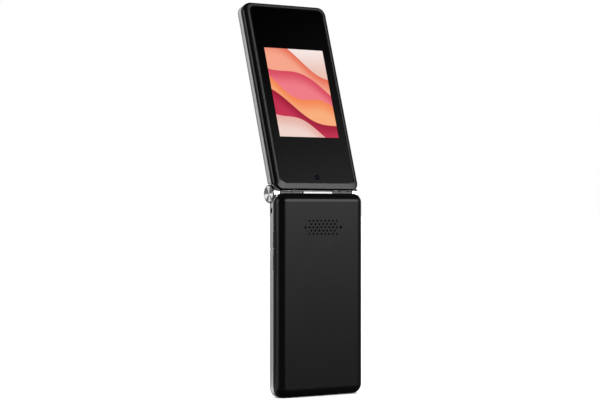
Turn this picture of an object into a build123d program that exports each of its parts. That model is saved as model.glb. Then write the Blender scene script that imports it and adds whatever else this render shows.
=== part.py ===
"""Flip phone: a base with keypad and battery, a lid with two displays, and the hinge between them.

Millimetres, +Z up. The base stands on its bottom end and the lid is fully open. X runs along the
hinge, to the user's right. The front, with keypad and inner display, faces -Y, and the back faces +Y.
The origin is the centre of the bottom end of the base's side band. Sizes of the base are given as a
depth behind the hinge axis and a height above it, and sizes of the lid as a depth and a height in
the lid's own plane, which leans forward.
"""

from build123d import *

import os
from math import cos, radians, sin

# ------------------------------------------------------------------ both halves
WIDTH = 52.4
HALF_LENGTH = 103.2  # from the hinge axis to the far end of either half
OPEN_ANGLE = 162.2  # between the two fronts with the lid fully open
FAR_CORNER = 5.2  # outline corner radius away from the hinge
NEAR_CORNER = 4.6  # outline corner radius beside the hinge
FACE_DEPTH = 0.35  # each front lies this far behind the plane where the halves meet
FRAME_WALL = 1.4  # side band, beside the front bezel
FRAME_LEDGE = 3.2  # side band, behind the front bezel
FIT = 0.1  # between pieces of one half that drop into each other
PLANT_GAP = 0.05  # between a screw, pin or plug and its hole
MOVE_GAP = 0.35  # between the halves where they pass each other

# ------------------------------------------------------------------ base
BAND_FRONT = 1.0
BAND_WIDTH = 3.1
BASE_DEPTH = 10.7
BASE_RISE = 0.4  # the base's near end stands this far above the hinge axis
COVER_WALL = 1.0
COVER_ROUND = 4.4
FASCIA_THICK = 1.2
FASCIA_CORNER = 1.5  # of both fronts, beside the hinge
FASCIA_EDGE = 0.2

# ------------------------------------------------------------------ lid
LID_BAND_FRONT = 0.6
LID_BAND_WIDTH = 3.0
LID_DEPTH = 7.6
LID_FASCIA_THICK = 1.0
GLASS_MARGIN = 3.5  # from the glass to the lid's side
GLASS_NEAR = 3.35
GLASS_FAR_MARGIN = 2.85
GLASS_CORNER = 3.2
GLASS_THICK = 1.0
SHELL_LEDGE = 0.9  # the step that carries the glass
FACET_DROP = 0.45  # how far the sloping border falls from the glass to its outer edge
EDGE_DEPTH = 2.2  # depth of the lid's rounded edge
SIDE_EDGE = 1.8  # how far the rounded edge draws in at the sides
FAR_EDGE = 1.0
NEAR_EDGE = 0.7
PICTURE_SHAPE = 4 / 3  # height of a display's lit area to its width
OUTER_VIEW_MARGIN = 7.84  # from the outer display's lit area to the lid's side
OUTER_VIEW_NEAR = 28.5
INNER_VIEW_MARGIN = 4.6
INNER_VIEW_NEAR = 30.0
INNER_VIEW_FAR_MARGIN = 15.6

# ------------------------------------------------------------------ hinge
BARREL_R = 4.65
LIP_THICK = 0.65  # metal lip of each half around the barrel
LID_KNUCKLE_MARGIN = 11.2  # from the end of the lid's knuckle to the phone's side
BASE_KNUCKLE_MARGIN = 3.4
CAP_PROUD = 0.25  # of the phone's side
CAP_DISC = 1.05
CAP_WALL = 1.0
CAP_DISH = 0.3
CORE_R = 3.6
SLEEVE_END = 9.9
SLEEVE_THICK = 0.4
PIN_R = 2.3
PIN_BORE_R = 1.6
PIN_REACH = 3.8  # of the pivot pin into the lid's knuckle
CAN_R = 3.4
CAN_WALL = 0.65
SHAFT_R = 1.0
SHAFT_FLAT = 1.9
RUN_GAP = 0.05
CAP_EDGE = 0.4
CAN_CLOSED_END = 1.5
CAN_RECESS = 0.2
CAM_RECESS = 2.2  # from the can's open end
CAM_LENGTH = 3.6
CAM_SLOPE = 0.8
NECK_TAPER = 0.7
NECK_R = 1.9
SPRING_WIRE_R = 0.26
SPRING_R = 2.1
SPRING_TURNS = 5
CORE_FLOOR = 0.4
HEAD_ROOM = 0.5  # from the shaft's head to the knuckle's end
ROLL_R = 3.0
FLEX_THICK = 0.16
FLEX_TO_PIN = 1.4
FLEX_TO_MIDDLE = 1.2
FLEX_TAIL = 20.2
FLEX_TAIL_WIDTH = 2.56
FLEX_LINK = 1.0  # stretch of the roll that its tail joins
FLEX_PLUG = (7.0, 3.0)
FLEX_PLUG_HEIGHT = 18.5
FLEX_SLOT_END = 9.65
FLEX_SLOT_DEEP = 0.6
FLEX_SLOT_ROOM = 0.3

# ------------------------------------------------------------------ keys
KEY_PROUD = 0.25  # key tops above the fascia
KEY_ROUND = 0.2
KEY_GAP = 0.25  # between a key and its opening
KEY_TRAVEL = 0.3
KEY_FLANGE = 0.3  # flange past the key's edge, behind the fascia
FLANGE_THICK = 0.35
KEYPAD_MARGIN = 3.7  # from the outer columns' share of the face to the phone's side
COLUMN_BAR = 1.2  # between two number keys side by side
ROW_BAR = 2.1  # between two number keys one above the other
FIRST_ROW = -50.5
LAST_ROW_MARGIN = 15.2
NAV_MARGIN = 15.0
NAV_HEIGHT = -25.0
OK_SHARE = 0.464  # of the direction ring's width
SIDE_COLUMN_MARGIN = 8.6
CORNER_KEY = (9.2, 10.8)
SOFT_HEIGHT = -18.0
CALL_HEIGHT = -32.0
SIDE_KEY_LENGTH = 8.8
SIDE_KEY_WIDTH = 2.6
SIDE_KEY_PROUD = 0.45
SIDE_KEY_DEPTH = 5.55
SIDE_KEY_HEIGHTS = {"side_key_upper": -23.2, "side_key_lower": -35.0}
SIDE_KEY_GAP = 0.15
SIDE_KEY_CORNER = 0.9
SIDE_KEY_ROUND = 0.4
SIDE_FLANGE_THICK = 0.5
SIDE_FLANGE_RIM = 0.7  # flange past the key's ends
SWITCH = (1.3, 3.6)  # across the phone and high
SWITCH_ROOM = 1.63
SWITCH_BUTTON = (0.3, 1.0, 1.8)

# ------------------------------------------------------------------ inside the base
MEMBRANE_THICK = 0.3
DOME_HEIGHT = 0.22
DOME_R = 2.4
DOME_SLOPE = 60
BOARD_THICK = 0.8
SHIELD_HEIGHT = 1.2
CHASSIS_THICK = 0.7
CHASSIS_MARGIN = 2.2
CHASSIS_STEP = -38.0  # below it the chassis holds the battery, above it it bridges the shields
BATTERY_MARGIN = 7.2
BATTERY_FAR_MARGIN = 10.7
BATTERY_TO_COVER = 0.4
BATTERY_TOP = -39.5
BATTERY_CORNER = 1.5
BATTERY_EDGE = 0.8
GRILLE_HEIGHT = -17.0
GRILLE_PITCH_X = 2.43
GRILLE_PITCH_Z = 1.66
GRILLE_HOLE_R = 0.53
GRILLE_END_HOLE_R = 0.65
SPEAKER = (19.0, 12.0)
SPEAKER_CORNER = 3.0
USB = (7.4, 2.2, 5.6)
USB_DEPTH = 2.7
USB_GAP = 0.1
USB_MARGIN = 13.2  # from its middle to the phone's side
USB_SET_BACK = 0.15
USB_WALL = 0.25
USB_CORNER = 0.55
USB_TONGUE = (3.8, 0.6)
USB_NOTCH = (9.0, 4.5)
EYE_HEIGHT = -8.5
EYE_DEPTH = 2.3
EYE_SIZE = (2.7, 1.5)
EYE_HOLE_DEPTH = 2.0
BREAK_HEIGHT = -27.8
BREAK_WIDTH = 0.5
BREAK_DEPTH = 0.4
SHEET_MARGIN = 3.6  # from the keypad layers and the board to the phone's side
SHEET_NEAR = -9.0
SHEET_FAR_MARGIN = 7.2
SHEET_CORNER = 2.0
SHEET_FAR_CORNER = 3.6
BOARD_FAR_MARGIN = 3.4
SHIELD_GAP = 3.0
SHIELD_MARGIN = 2.1  # from a shield to the board's side
SHIELD_LENGTH = 26.0
SHIELD_MIDDLE = -23.0
CHASSIS_NEAR = -7.6
CHASSIS_RIB = 1.2
CHASSIS_RIB_TOP = -12.0
BATTERY_ROOM = 0.2  # between the battery and the walls of its tray
TRAY_WALL = 1.0
TRAY_HEIGHT = 3.2
CONTACT = (1.4, 3.6, 2.2)
CONTACT_PITCH = 3.0
CONTACT_X = 9.0
SIM = (12.0, 11.6, 1.4)
SIM_TO_SPEAKER = 0.2
SIM_HEIGHT = -31.0
SIM_SLOT = (10.6, 0.8)
SIM_WALL = 0.3
SPEAKER_CONE = (15.0, 8.0)
SPEAKER_CONE_DEPTH = 0.6
MESH = (25.0, 10.4)
MOTOR_ROOM = 0.63  # between the motor and what is in front of and behind it
MOTOR_LENGTH = 7.0
MOTOR_TO_SPEAKER = 1.0
MOTOR_HEIGHT = -15.0
MOTOR_AXLE_R = 0.5
MOTOR_WEIGHT_LENGTH = 2.6
MIC = (3.4, 2.6)
MIC_X = 14.0
MIC_MARGIN = 4.8
MIC_HOLE_MARGIN = 4.2
MIC_HOLE_R = 0.5
ANTENNA_MARGIN = 9.2
ANTENNA_FAR_MARGIN = 6.2
ANTENNA_WIDE = 4.0
ANTENNA_SLOT = (16.0, 0.8)
ANTENNA_SLOT_STEP = (6.0, 0.6)
SCREW_R = 0.7
SCREW_HEAD_R = 1.3
SCREW_HEAD = 0.6
BOSS_R = 1.6
BASE_POST_MARGIN = 5.7
BASE_POST_NEAR = -41.5
BASE_POST_FAR_MARGIN = 6.0
DRIVE_SLOT = (1.5, 0.35, 0.3)  # length, width and depth of the cross in a screw's head

# ------------------------------------------------------------------ inside the lid
LENS_MARGIN = 3.2
LENS_NEAR = 20.0
LENS_FAR_MARGIN = 7.6
LENS_THICK = 0.6
LENS_CORNER = 2.5
EAR_MARGIN = 5.6
EAR_SLOT = (9.0, 1.2)
CAMERA_HEIGHT = 6.6
CAMERA_R = 2.2
LID_POST_MARGIN = 5.6
LID_POST_NEAR = 10.0
LID_POST_FAR_MARGIN = 5.2
LID_POST_R = 1.7
BUMPER_PROUD = 0.25
BUMPER_ROUND = 0.15
DISPLAY_BORDER = (3.6, 7.6)  # unlit margins of the outer display's module, both sides together
OUTER_MODULE_THICK = 1.7
INNER_BORDER = (2.0, 7.0)
INNER_MODULE_DROP = 1.5  # the module's centre lies this far nearer the hinge than its picture's
INNER_MODULE_THICK = 1.85
INNER_WINDOW_ROOM = 1.0
MODULE_CORNER = 0.6
LID_BOARD_MARGIN = 4.2
LID_BOARD_NEAR = 13.5
LID_BOARD_FAR_MARGIN = 9.7
LID_CHIP = (10.0, 5.0)
LID_CHIP_STEP = 15.0
LID_CHIP_HEIGHT = 18.5
EARPIECE = (14.0, 4.2, 2.2)
EARPIECE_MESH_DROP = 0.4
CAMERA_LENGTH = 1.9
CAMERA_POCKET = 2.1
PUPIL_R = 0.8
PUPIL_DEPTH = 0.6

# ------------------------------------------------------------------ worked out from the above
SIDES = (-1, 1)
HALF_WIDTH = WIDTH / 2
GLASS_HALF_WIDTH = HALF_WIDTH - GLASS_MARGIN
GLASS_FAR = HALF_LENGTH - GLASS_FAR_MARGIN
OUTER_VIEW_WIDTH = WIDTH - 2 * OUTER_VIEW_MARGIN
OUTER_VIEW = (OUTER_VIEW_WIDTH, OUTER_VIEW_WIDTH * PICTURE_SHAPE)
INNER_VIEW = (WIDTH - 2 * INNER_VIEW_MARGIN, HALF_LENGTH - INNER_VIEW_FAR_MARGIN - INNER_VIEW_NEAR)
LID_KNUCKLE_END = HALF_WIDTH - LID_KNUCKLE_MARGIN
BASE_KNUCKLE_END = HALF_WIDTH - BASE_KNUCKLE_MARGIN
CAP_FACE = HALF_WIDTH + CAP_PROUD
COLUMN_PITCH = (WIDTH - 2 * KEYPAD_MARGIN) / 3
LAST_ROW = LAST_ROW_MARGIN - HALF_LENGTH
ROW_PITCH = (FIRST_ROW - LAST_ROW) / 3
DIGIT_KEY = (COLUMN_PITCH - COLUMN_BAR, ROW_PITCH - ROW_BAR)
NAV_SIZE = WIDTH - 2 * NAV_MARGIN
OK_SIZE = NAV_SIZE * OK_SHARE
OK_RADIUS = OK_SIZE / 3
SIDE_COLUMN = HALF_WIDTH - SIDE_COLUMN_MARGIN
CHASSIS_HALF_WIDTH = HALF_WIDTH - CHASSIS_MARGIN
SHEET_HALF_WIDTH = HALF_WIDTH - SHEET_MARGIN
SHEET_FAR = SHEET_FAR_MARGIN - HALF_LENGTH
BOARD_FAR = BOARD_FAR_MARGIN - HALF_LENGTH
SHIELD = (SHEET_HALF_WIDTH - SHIELD_MARGIN - SHIELD_GAP / 2, SHIELD_LENGTH)
SHIELD_PLACES = [(side * (SHIELD[0] + SHIELD_GAP) / 2, SHIELD_MIDDLE) for side in SIDES]
CHASSIS_FAR = FRAME_LEDGE - HALF_LENGTH
USB_X = USB_MARGIN - HALF_WIDTH
SIM_PLACE = (-(SPEAKER[0] + SIM[0]) / 2 - SIM_TO_SPEAKER, SIM_HEIGHT)
MOTOR_X = SPEAKER[0] / 2 + MOTOR_TO_SPEAKER
MIC_PLACE = (MIC_X, MIC_MARGIN - HALF_LENGTH)
MIC_HOLE_PLACE = (MIC_X, MIC_HOLE_MARGIN - HALF_LENGTH)
ANTENNA = (WIDTH - 2 * ANTENNA_MARGIN, ANTENNA_WIDE)
ANTENNA_HEIGHT = ANTENNA_FAR_MARGIN - HALF_LENGTH
LENS_HALF_WIDTH = HALF_WIDTH - LENS_MARGIN
LENS_FAR = HALF_LENGTH - LENS_FAR_MARGIN
EAR_HEIGHT = HALF_LENGTH - EAR_MARGIN
LID_BOARD = (HALF_WIDTH - LID_BOARD_MARGIN, LID_BOARD_NEAR, HALF_LENGTH - LID_BOARD_FAR_MARGIN)
BAND_BACK = BAND_FRONT + BAND_WIDTH
LID_BAND_BACK = LID_BAND_FRONT + LID_BAND_WIDTH
HINGE_Y = -(BAND_FRONT + BAND_BACK) / 2
HINGE_Z = HALF_LENGTH
LEAN = radians(180 - OPEN_ANGLE)
RELIEF_R = BARREL_R + MOVE_GAP
LIP_R = RELIEF_R + LIP_THICK
BASE_KNUCKLE_START = LID_KNUCKLE_END + MOVE_GAP
FASCIA_BACK = FACE_DEPTH + FASCIA_THICK
LID_FASCIA_BACK = FACE_DEPTH + LID_FASCIA_THICK
FASCIA_NEAR = LIP_R - 0.05
FASCIA_HALF_WIDTH = HALF_WIDTH - FRAME_WALL - FIT
FASCIA_FAR = HALF_LENGTH - FRAME_WALL - FIT
FLANGE_FRONT = FASCIA_BACK + FIT
MEMBRANE_FRONT = FLANGE_FRONT + FLANGE_THICK + KEY_TRAVEL + PLANT_GAP
BOARD_FRONT = MEMBRANE_FRONT + MEMBRANE_THICK + DOME_HEIGHT + 2 * FIT
SHIELD_BACK = BOARD_FRONT + BOARD_THICK + SHIELD_HEIGHT
BRIDGE_FRONT = SHIELD_BACK + FIT
BRIDGE_BACK = BRIDGE_FRONT + CHASSIS_THICK
PLATE_BACK = BAND_BACK + CHASSIS_THICK
COVER_INNER = BASE_DEPTH - COVER_WALL
SPEAKER_BACK = COVER_INNER - 2 * FIT
BATTERY = (WIDTH - 2 * BATTERY_MARGIN, HALF_LENGTH + BATTERY_TOP - BATTERY_FAR_MARGIN,
           COVER_INNER - PLATE_BACK - FIT - BATTERY_TO_COVER)
MOTOR_R = (COVER_INNER - BRIDGE_BACK - MOTOR_ROOM) / 2
SWITCH_DEEP = COVER_INNER - BRIDGE_BACK - SWITCH_ROOM
GLASS_BACK = LID_DEPTH - GLASS_THICK
LEDGE_FRONT = GLASS_BACK - SHELL_LEDGE
EDGE_START = LID_DEPTH - FACET_DROP - EDGE_DEPTH
EDGE_ANGLES = (0, 30, 60, 90)
OUTER_MODULE = (OUTER_VIEW[0] + DISPLAY_BORDER[0], OUTER_VIEW[1] + DISPLAY_BORDER[1])
INNER_MODULE_BACK = LID_FASCIA_BACK + FIT + INNER_MODULE_THICK
LID_BOARD_FRONT = INNER_MODULE_BACK + 2 * FIT
PIN_INNER_END = LID_KNUCKLE_END - PIN_REACH
SHAFT_HEAD_END = BASE_KNUCKLE_END - HEAD_ROOM
FLEX_START = FLEX_TO_PIN - PIN_INNER_END
FLEX_WIDTH = -FLEX_START - FLEX_TO_MIDDLE
CAN_OPEN_END = LID_KNUCKLE_END - CAN_RECESS
CAM_END = CAN_OPEN_END - CAM_RECESS
CAM_START = CAM_END - CAM_LENGTH
NECK_START = CAM_END + NECK_TAPER
CAN_INNER_R = CAN_R - CAN_WALL
CAN_FLOOR = CAN_CLOSED_END + CAN_WALL
SPRING_START = CAN_FLOOR + SPRING_WIRE_R + PLANT_GAP
SPRING_LENGTH = CAM_START - SPRING_WIRE_R - PLANT_GAP - SPRING_START
FLEX_X = FLEX_START + FLEX_WIDTH / 2
OUTER_VIEW_MID = OUTER_VIEW_NEAR + OUTER_VIEW[1] / 2
INNER_VIEW_MID = INNER_VIEW_NEAR + INNER_VIEW[1] / 2
BASE_POSTS = [(side * (HALF_WIDTH - BASE_POST_MARGIN), height) for side in SIDES
              for height in (BASE_POST_NEAR, BASE_POST_FAR_MARGIN - HALF_LENGTH)]
LID_POSTS = [(side * (HALF_WIDTH - LID_POST_MARGIN), height) for side in SIDES
             for height in (LID_POST_NEAR, HALF_LENGTH - LID_POST_FAR_MARGIN)]

os.makedirs("parts", exist_ok=True)


def save(builder, label):
    """Name a finished piece and write it out."""
    builder.part.label = label
    export_step(builder.part, f"parts/{label}.step")


def base_plane(depth):
    """Plane of the base at a depth behind the hinge axis, with X right and Y up from the axis."""
    return Plane(origin=(0, HINGE_Y + depth, HINGE_Z), x_dir=(1, 0, 0), z_dir=(0, -1, 0))


def lid_plane(depth):
    """The same plane of the lid, leaning forward by the open angle's remainder."""
    origin = (0, HINGE_Y + depth * cos(LEAN), HINGE_Z + depth * sin(LEAN))
    return Plane(origin=origin, x_dir=(1, 0, 0), z_dir=(0, -cos(LEAN), -sin(LEAN)))


def axis_plane(x):
    """Plane across the hinge axis: its X is the depth of the base, its Y the height above the axis."""
    return Plane(origin=(x, HINGE_Y, HINGE_Z), x_dir=(0, 1, 0), z_dir=(1, 0, 0))


def lid_axis_plane(x):
    """Plane across the hinge axis, turned with the lid."""
    return Plane(origin=(x, HINGE_Y, HINGE_Z), x_dir=(0, cos(LEAN), sin(LEAN)), z_dir=(1, 0, 0))


def outline(half_width, near, far, near_radius, far_radius, mode=Mode.ADD):
    """Draw a half's outline in the open sketch, from its near end at the hinge to its far end."""
    corners = [(-half_width, near), (half_width, near), (half_width, far), (-half_width, far)]
    with BuildLine() as border:
        FilletPolyline(*corners, radius=[near_radius, near_radius, far_radius, far_radius], close=True)
    make_face(border.edges(), mode=mode)


HINGE_AXIS = Axis((0, HINGE_Y, HINGE_Z), (1, 0, 0))


def turn(*points):
    """Turn a profile, given as places along the hinge axis and radii, into the open part."""
    with BuildLine() as border:
        Polyline(*points, close=True)
    with BuildSketch(base_plane(0)) as profile:
        make_face(border.edges())
    revolve(profile.sketch, axis=HINGE_AXIS)


def bar_between(x_start, x_end, radius, mode):
    """Add or cut a round bar along the hinge axis in the open part."""
    with BuildSketch(axis_plane(x_start)) as disc:
        Circle(radius)
    extrude(disc.sketch, amount=x_end - x_start, mode=mode)


# ------------------------------------------------------------------ base: casing
with BuildPart() as cover_hollow:
    with BuildSketch(base_plane(COVER_INNER)):
        outline(HALF_WIDTH - COVER_WALL, BASE_RISE - COVER_WALL, COVER_WALL - HALF_LENGTH,
                NEAR_CORNER - COVER_WALL, FAR_CORNER - COVER_WALL)
    extrude(amount=COVER_INNER - BAND_BACK)
    fillet(cover_hollow.faces().sort_by(Axis.Y)[-1].edges(), COVER_ROUND - COVER_WALL)

with BuildPart() as rear_cover:
    with BuildSketch(base_plane(BASE_DEPTH)):
        outline(HALF_WIDTH, BASE_RISE, -HALF_LENGTH, NEAR_CORNER, FAR_CORNER)
    extrude(amount=BASE_DEPTH - BAND_BACK)
    fillet(rear_cover.faces().sort_by(Axis.Y)[-1].edges(), COVER_ROUND)
    add(cover_hollow.part, mode=Mode.SUBTRACT)
    bar_between(-WIDTH, WIDTH, LIP_R + PLANT_GAP, Mode.SUBTRACT)
    with BuildSketch(base_plane(BASE_DEPTH)):
        for row in (-2, 0, 2):
            with Locations((0, GRILLE_HEIGHT + row * GRILLE_PITCH_Z)):
                with GridLocations(GRILLE_PITCH_X, 1, 8, 1):
                    Circle(GRILLE_HOLE_R)
        for row in (-1, 1):
            with Locations((0, GRILLE_HEIGHT + row * GRILLE_PITCH_Z)):
                with GridLocations(GRILLE_PITCH_X, 1, 7, 1):
                    Circle(GRILLE_HOLE_R)
        with Locations((0, GRILLE_HEIGHT)):
            with GridLocations(9 * GRILLE_PITCH_X, 1, 2, 1):
                Circle(GRILLE_END_HOLE_R)
    extrude(amount=2 * COVER_WALL, mode=Mode.SUBTRACT)
    for height in SIDE_KEY_HEIGHTS.values():
        with BuildSketch(axis_plane(HALF_WIDTH + COVER_WALL)):
            with Locations((SIDE_KEY_DEPTH, height)):
                RectangleRounded(SIDE_KEY_WIDTH + 2 * SIDE_KEY_GAP, SIDE_KEY_LENGTH + 2 * SIDE_KEY_GAP,
                                 SIDE_KEY_CORNER + SIDE_KEY_GAP)
                Rectangle(SIDE_KEY_WIDTH, SIDE_KEY_LENGTH + 2 * SIDE_KEY_GAP,
                          align=(Align.MAX, Align.CENTER))
        extrude(amount=-3 * COVER_WALL, mode=Mode.SUBTRACT)
save(rear_cover, "rear_cover")

with BuildPart() as base_frame:
    with BuildSketch(base_plane(LIP_R)):
        outline(HALF_WIDTH, BASE_RISE, -HALF_LENGTH, NEAR_CORNER, FAR_CORNER)
        outline(HALF_WIDTH - FRAME_LEDGE, -LIP_R - FRAME_WALL, FRAME_LEDGE - HALF_LENGTH, FASCIA_CORNER,
                FAR_CORNER - FRAME_LEDGE, mode=Mode.SUBTRACT)
    extrude(amount=LIP_R - BAND_FRONT)
    with BuildSketch(axis_plane(-WIDTH)):
        with Locations((BAND_BACK, BASE_RISE + BARREL_R)):
            Rectangle(LIP_R, HALF_LENGTH + 2 * LIP_R, align=(Align.MIN, Align.MAX))
        Circle(LIP_R, mode=Mode.SUBTRACT)
    extrude(amount=2 * WIDTH, mode=Mode.SUBTRACT)
    with BuildSketch(base_plane(FASCIA_BACK)):
        outline(FASCIA_HALF_WIDTH + FIT, FIT - FASCIA_NEAR, -FASCIA_FAR - FIT, FASCIA_CORNER + FIT,
                FAR_CORNER - FRAME_WALL)
    extrude(amount=FASCIA_BACK, mode=Mode.SUBTRACT)
    bar_between(-BASE_KNUCKLE_START, BASE_KNUCKLE_START, RELIEF_R, Mode.SUBTRACT)
    for side in SIDES:
        bar_between(side * BASE_KNUCKLE_END, side * WIDTH, BARREL_R + PLANT_GAP, Mode.SUBTRACT)
        bar_between(side * BASE_KNUCKLE_START, side * BASE_KNUCKLE_END, BARREL_R, Mode.ADD)
        bar_between(side * BASE_KNUCKLE_END, side * (CAP_FACE - CAP_DISC - PLANT_GAP), CORE_R, Mode.ADD)
    bar_between(-BASE_KNUCKLE_END + CORE_FLOOR, -BASE_KNUCKLE_START, PIN_R + PLANT_GAP, Mode.SUBTRACT)
    with BuildSketch(axis_plane(BASE_KNUCKLE_START)):
        Circle(PIN_R + PLANT_GAP)
        Rectangle(4 * PIN_R, 2 * (SHAFT_FLAT + PLANT_GAP), mode=Mode.INTERSECT)
    extrude(amount=BASE_KNUCKLE_END - BASE_KNUCKLE_START - CORE_FLOOR, mode=Mode.SUBTRACT)
    with BuildSketch(Plane.XY.offset(-FIT)):
        with Locations((USB_X, HINGE_Y + USB_DEPTH)):
            RectangleRounded(USB[0] + 2 * USB_GAP, USB[1] + 2 * USB_GAP, USB_CORNER + USB_GAP)
    extrude(amount=FRAME_LEDGE + 2 * FIT, mode=Mode.SUBTRACT)
    with BuildSketch(axis_plane(HALF_WIDTH)):
        with Locations((EYE_DEPTH, EYE_HEIGHT)):
            SlotOverall(*EYE_SIZE, rotation=90)
    extrude(amount=-EYE_HOLE_DEPTH, mode=Mode.SUBTRACT)
    with BuildSketch(axis_plane(HALF_WIDTH)):
        with Locations((BAND_FRONT, BREAK_HEIGHT)):
            Rectangle(3 * BAND_WIDTH, BREAK_WIDTH)
    extrude(amount=-BREAK_DEPTH, mode=Mode.SUBTRACT)
save(base_frame, "base_frame")

# ------------------------------------------------------------------ base: keys and what is behind them
KEYS = {}
for row in range(3):
    for column in range(3):
        KEYS[f"key_{3 * row + column + 1}"] = ((column - 1) * COLUMN_PITCH, FIRST_ROW - row * ROW_PITCH)
KEYS["key_star"] = (-COLUMN_PITCH, LAST_ROW)
KEYS["key_0"] = (0, LAST_ROW)
KEYS["key_hash"] = (COLUMN_PITCH, LAST_ROW)
CORNER_KEYS = {
    "soft_key_left": (-SIDE_COLUMN, SOFT_HEIGHT),
    "soft_key_right": (SIDE_COLUMN, SOFT_HEIGHT),
    "call_key": (-SIDE_COLUMN, CALL_HEIGHT),
    "end_key": (SIDE_COLUMN, CALL_HEIGHT),
}
NAV_CENTRE = (0, NAV_HEIGHT)
DIGIT_RADIUS = 2.4
CORNER_RADIUS = 3.0
NAV_RADIUS = 6.5

with BuildPart() as base_fascia:
    with BuildSketch(base_plane(FASCIA_BACK)):
        outline(FASCIA_HALF_WIDTH, -FASCIA_NEAR, -FASCIA_FAR, FASCIA_CORNER, FAR_CORNER - FRAME_WALL - FIT)
    extrude(amount=FASCIA_THICK)
    chamfer(base_fascia.faces().sort_by(Axis.Y)[0].edges(), FASCIA_EDGE)
    with BuildSketch(base_plane(FASCIA_BACK)):
        with Locations(*KEYS.values()):
            RectangleRounded(DIGIT_KEY[0] + 2 * KEY_GAP, DIGIT_KEY[1] + 2 * KEY_GAP, DIGIT_RADIUS + KEY_GAP)
        with Locations(*CORNER_KEYS.values()):
            RectangleRounded(CORNER_KEY[0] + 2 * KEY_GAP, CORNER_KEY[1] + 2 * KEY_GAP,
                             CORNER_RADIUS + KEY_GAP)
        with Locations(NAV_CENTRE):
            RectangleRounded(NAV_SIZE + 2 * KEY_GAP, NAV_SIZE + 2 * KEY_GAP, NAV_RADIUS + KEY_GAP)
        with Locations(MIC_HOLE_PLACE):
            Circle(MIC_HOLE_R)
    extrude(amount=FASCIA_BACK, mode=Mode.SUBTRACT)
    with BuildSketch(base_plane(BOARD_FRONT - FIT)):
        with Locations(*BASE_POSTS):
            Circle(BOSS_R)
    extrude(amount=BOARD_FRONT - FIT - FASCIA_BACK)
    with BuildSketch(base_plane(BOARD_FRONT)):
        with Locations(*BASE_POSTS):
            Circle(SCREW_R + PLANT_GAP)
    extrude(amount=BOARD_FRONT - FASCIA_BACK, mode=Mode.SUBTRACT)
save(base_fascia, "base_fascia")


def make_key(label, centre, size, radius, inner=0, inner_radius=0):
    """Make a key: a cap that stands in the fascia's opening and a flange behind it."""
    with BuildPart() as key:
        with BuildSketch(base_plane(FLANGE_FRONT)):
            with Locations(centre):
                RectangleRounded(size[0], size[1], radius)
                if inner:
                    RectangleRounded(inner, inner, inner_radius, mode=Mode.SUBTRACT)
        extrude(amount=FLANGE_FRONT - FACE_DEPTH + KEY_PROUD)
        fillet(key.faces().sort_by(Axis.Y)[0].outer_wire().edges(), KEY_ROUND)
        with BuildSketch(base_plane(FLANGE_FRONT + FLANGE_THICK)):
            with Locations(centre):
                RectangleRounded(size[0] + 2 * KEY_GAP + 2 * KEY_FLANGE / 3,
                                 size[1] + 2 * KEY_GAP + 2 * KEY_FLANGE / 3, radius + KEY_FLANGE)
                if inner:
                    RectangleRounded(inner, inner, inner_radius, mode=Mode.SUBTRACT)
        extrude(amount=FLANGE_THICK)
    save(key, label)


for name, centre in KEYS.items():
    make_key(name, centre, DIGIT_KEY, DIGIT_RADIUS)
for name, centre in CORNER_KEYS.items():
    make_key(name, centre, CORNER_KEY, CORNER_RADIUS)
OK_GAP = 0.5
make_key("nav_ring", NAV_CENTRE, (NAV_SIZE, NAV_SIZE), NAV_RADIUS, OK_SIZE + 2 * OK_GAP, OK_RADIUS + OK_GAP)

with BuildPart() as ok_key:
    with BuildSketch(base_plane(FLANGE_FRONT + FLANGE_THICK)):
        with Locations(NAV_CENTRE):
            RectangleRounded(OK_SIZE, OK_SIZE, OK_RADIUS)
    extrude(amount=FLANGE_FRONT + FLANGE_THICK - FACE_DEPTH + KEY_PROUD)
    fillet(ok_key.faces().sort_by(Axis.Y)[0].edges(), KEY_ROUND)
save(ok_key, "ok_key")

ALL_KEYS = [*KEYS.values(), *CORNER_KEYS.values(), NAV_CENTRE]


def sheet_with_post_holes(depth, thickness, far, hole_radius):
    """Add a keypad layer to the open part, with holes where the fascia's screw posts pass."""
    with BuildSketch(base_plane(depth)) as layer:
        outline(SHEET_HALF_WIDTH, SHEET_NEAR, far, SHEET_CORNER, SHEET_FAR_CORNER)
        with Locations(*BASE_POSTS):
            Circle(hole_radius, mode=Mode.SUBTRACT)
    extrude(layer.sketch, amount=thickness)


with BuildPart() as key_membrane:
    sheet_with_post_holes(MEMBRANE_FRONT + MEMBRANE_THICK, MEMBRANE_THICK, SHEET_FAR, BOSS_R + KEY_GAP)
save(key_membrane, "key_membrane")

with BuildPart() as dome_sheet:
    sheet_with_post_holes(BOARD_FRONT, FIT, SHEET_FAR, BOSS_R + KEY_GAP)
    with BuildSketch(base_plane(BOARD_FRONT - FIT)):
        with Locations(*ALL_KEYS):
            Circle(DOME_R)
    extrude(amount=DOME_HEIGHT, taper=DOME_SLOPE)
save(dome_sheet, "dome_sheet")

with BuildPart() as main_board:
    sheet_with_post_holes(BOARD_FRONT + BOARD_THICK, BOARD_THICK, BOARD_FAR, SCREW_R + 2 * PLANT_GAP)
    with BuildSketch(base_plane(BOARD_FRONT + BOARD_THICK)):
        with Locations((USB_X, BOARD_FAR)):
            Rectangle(USB_NOTCH[0], 2 * USB_NOTCH[1])
    extrude(amount=BOARD_THICK, mode=Mode.SUBTRACT)
save(main_board, "main_board")

with BuildPart() as board_shields:
    with BuildSketch(base_plane(SHIELD_BACK)):
        with Locations(*SHIELD_PLACES):
            RectangleRounded(*SHIELD, MODULE_CORNER)
    extrude(amount=SHIELD_HEIGHT)
    chamfer(board_shields.faces().group_by(Axis.Y)[-1].edges(), 2 * FIT)
save(board_shields, "board_shields")

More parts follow.
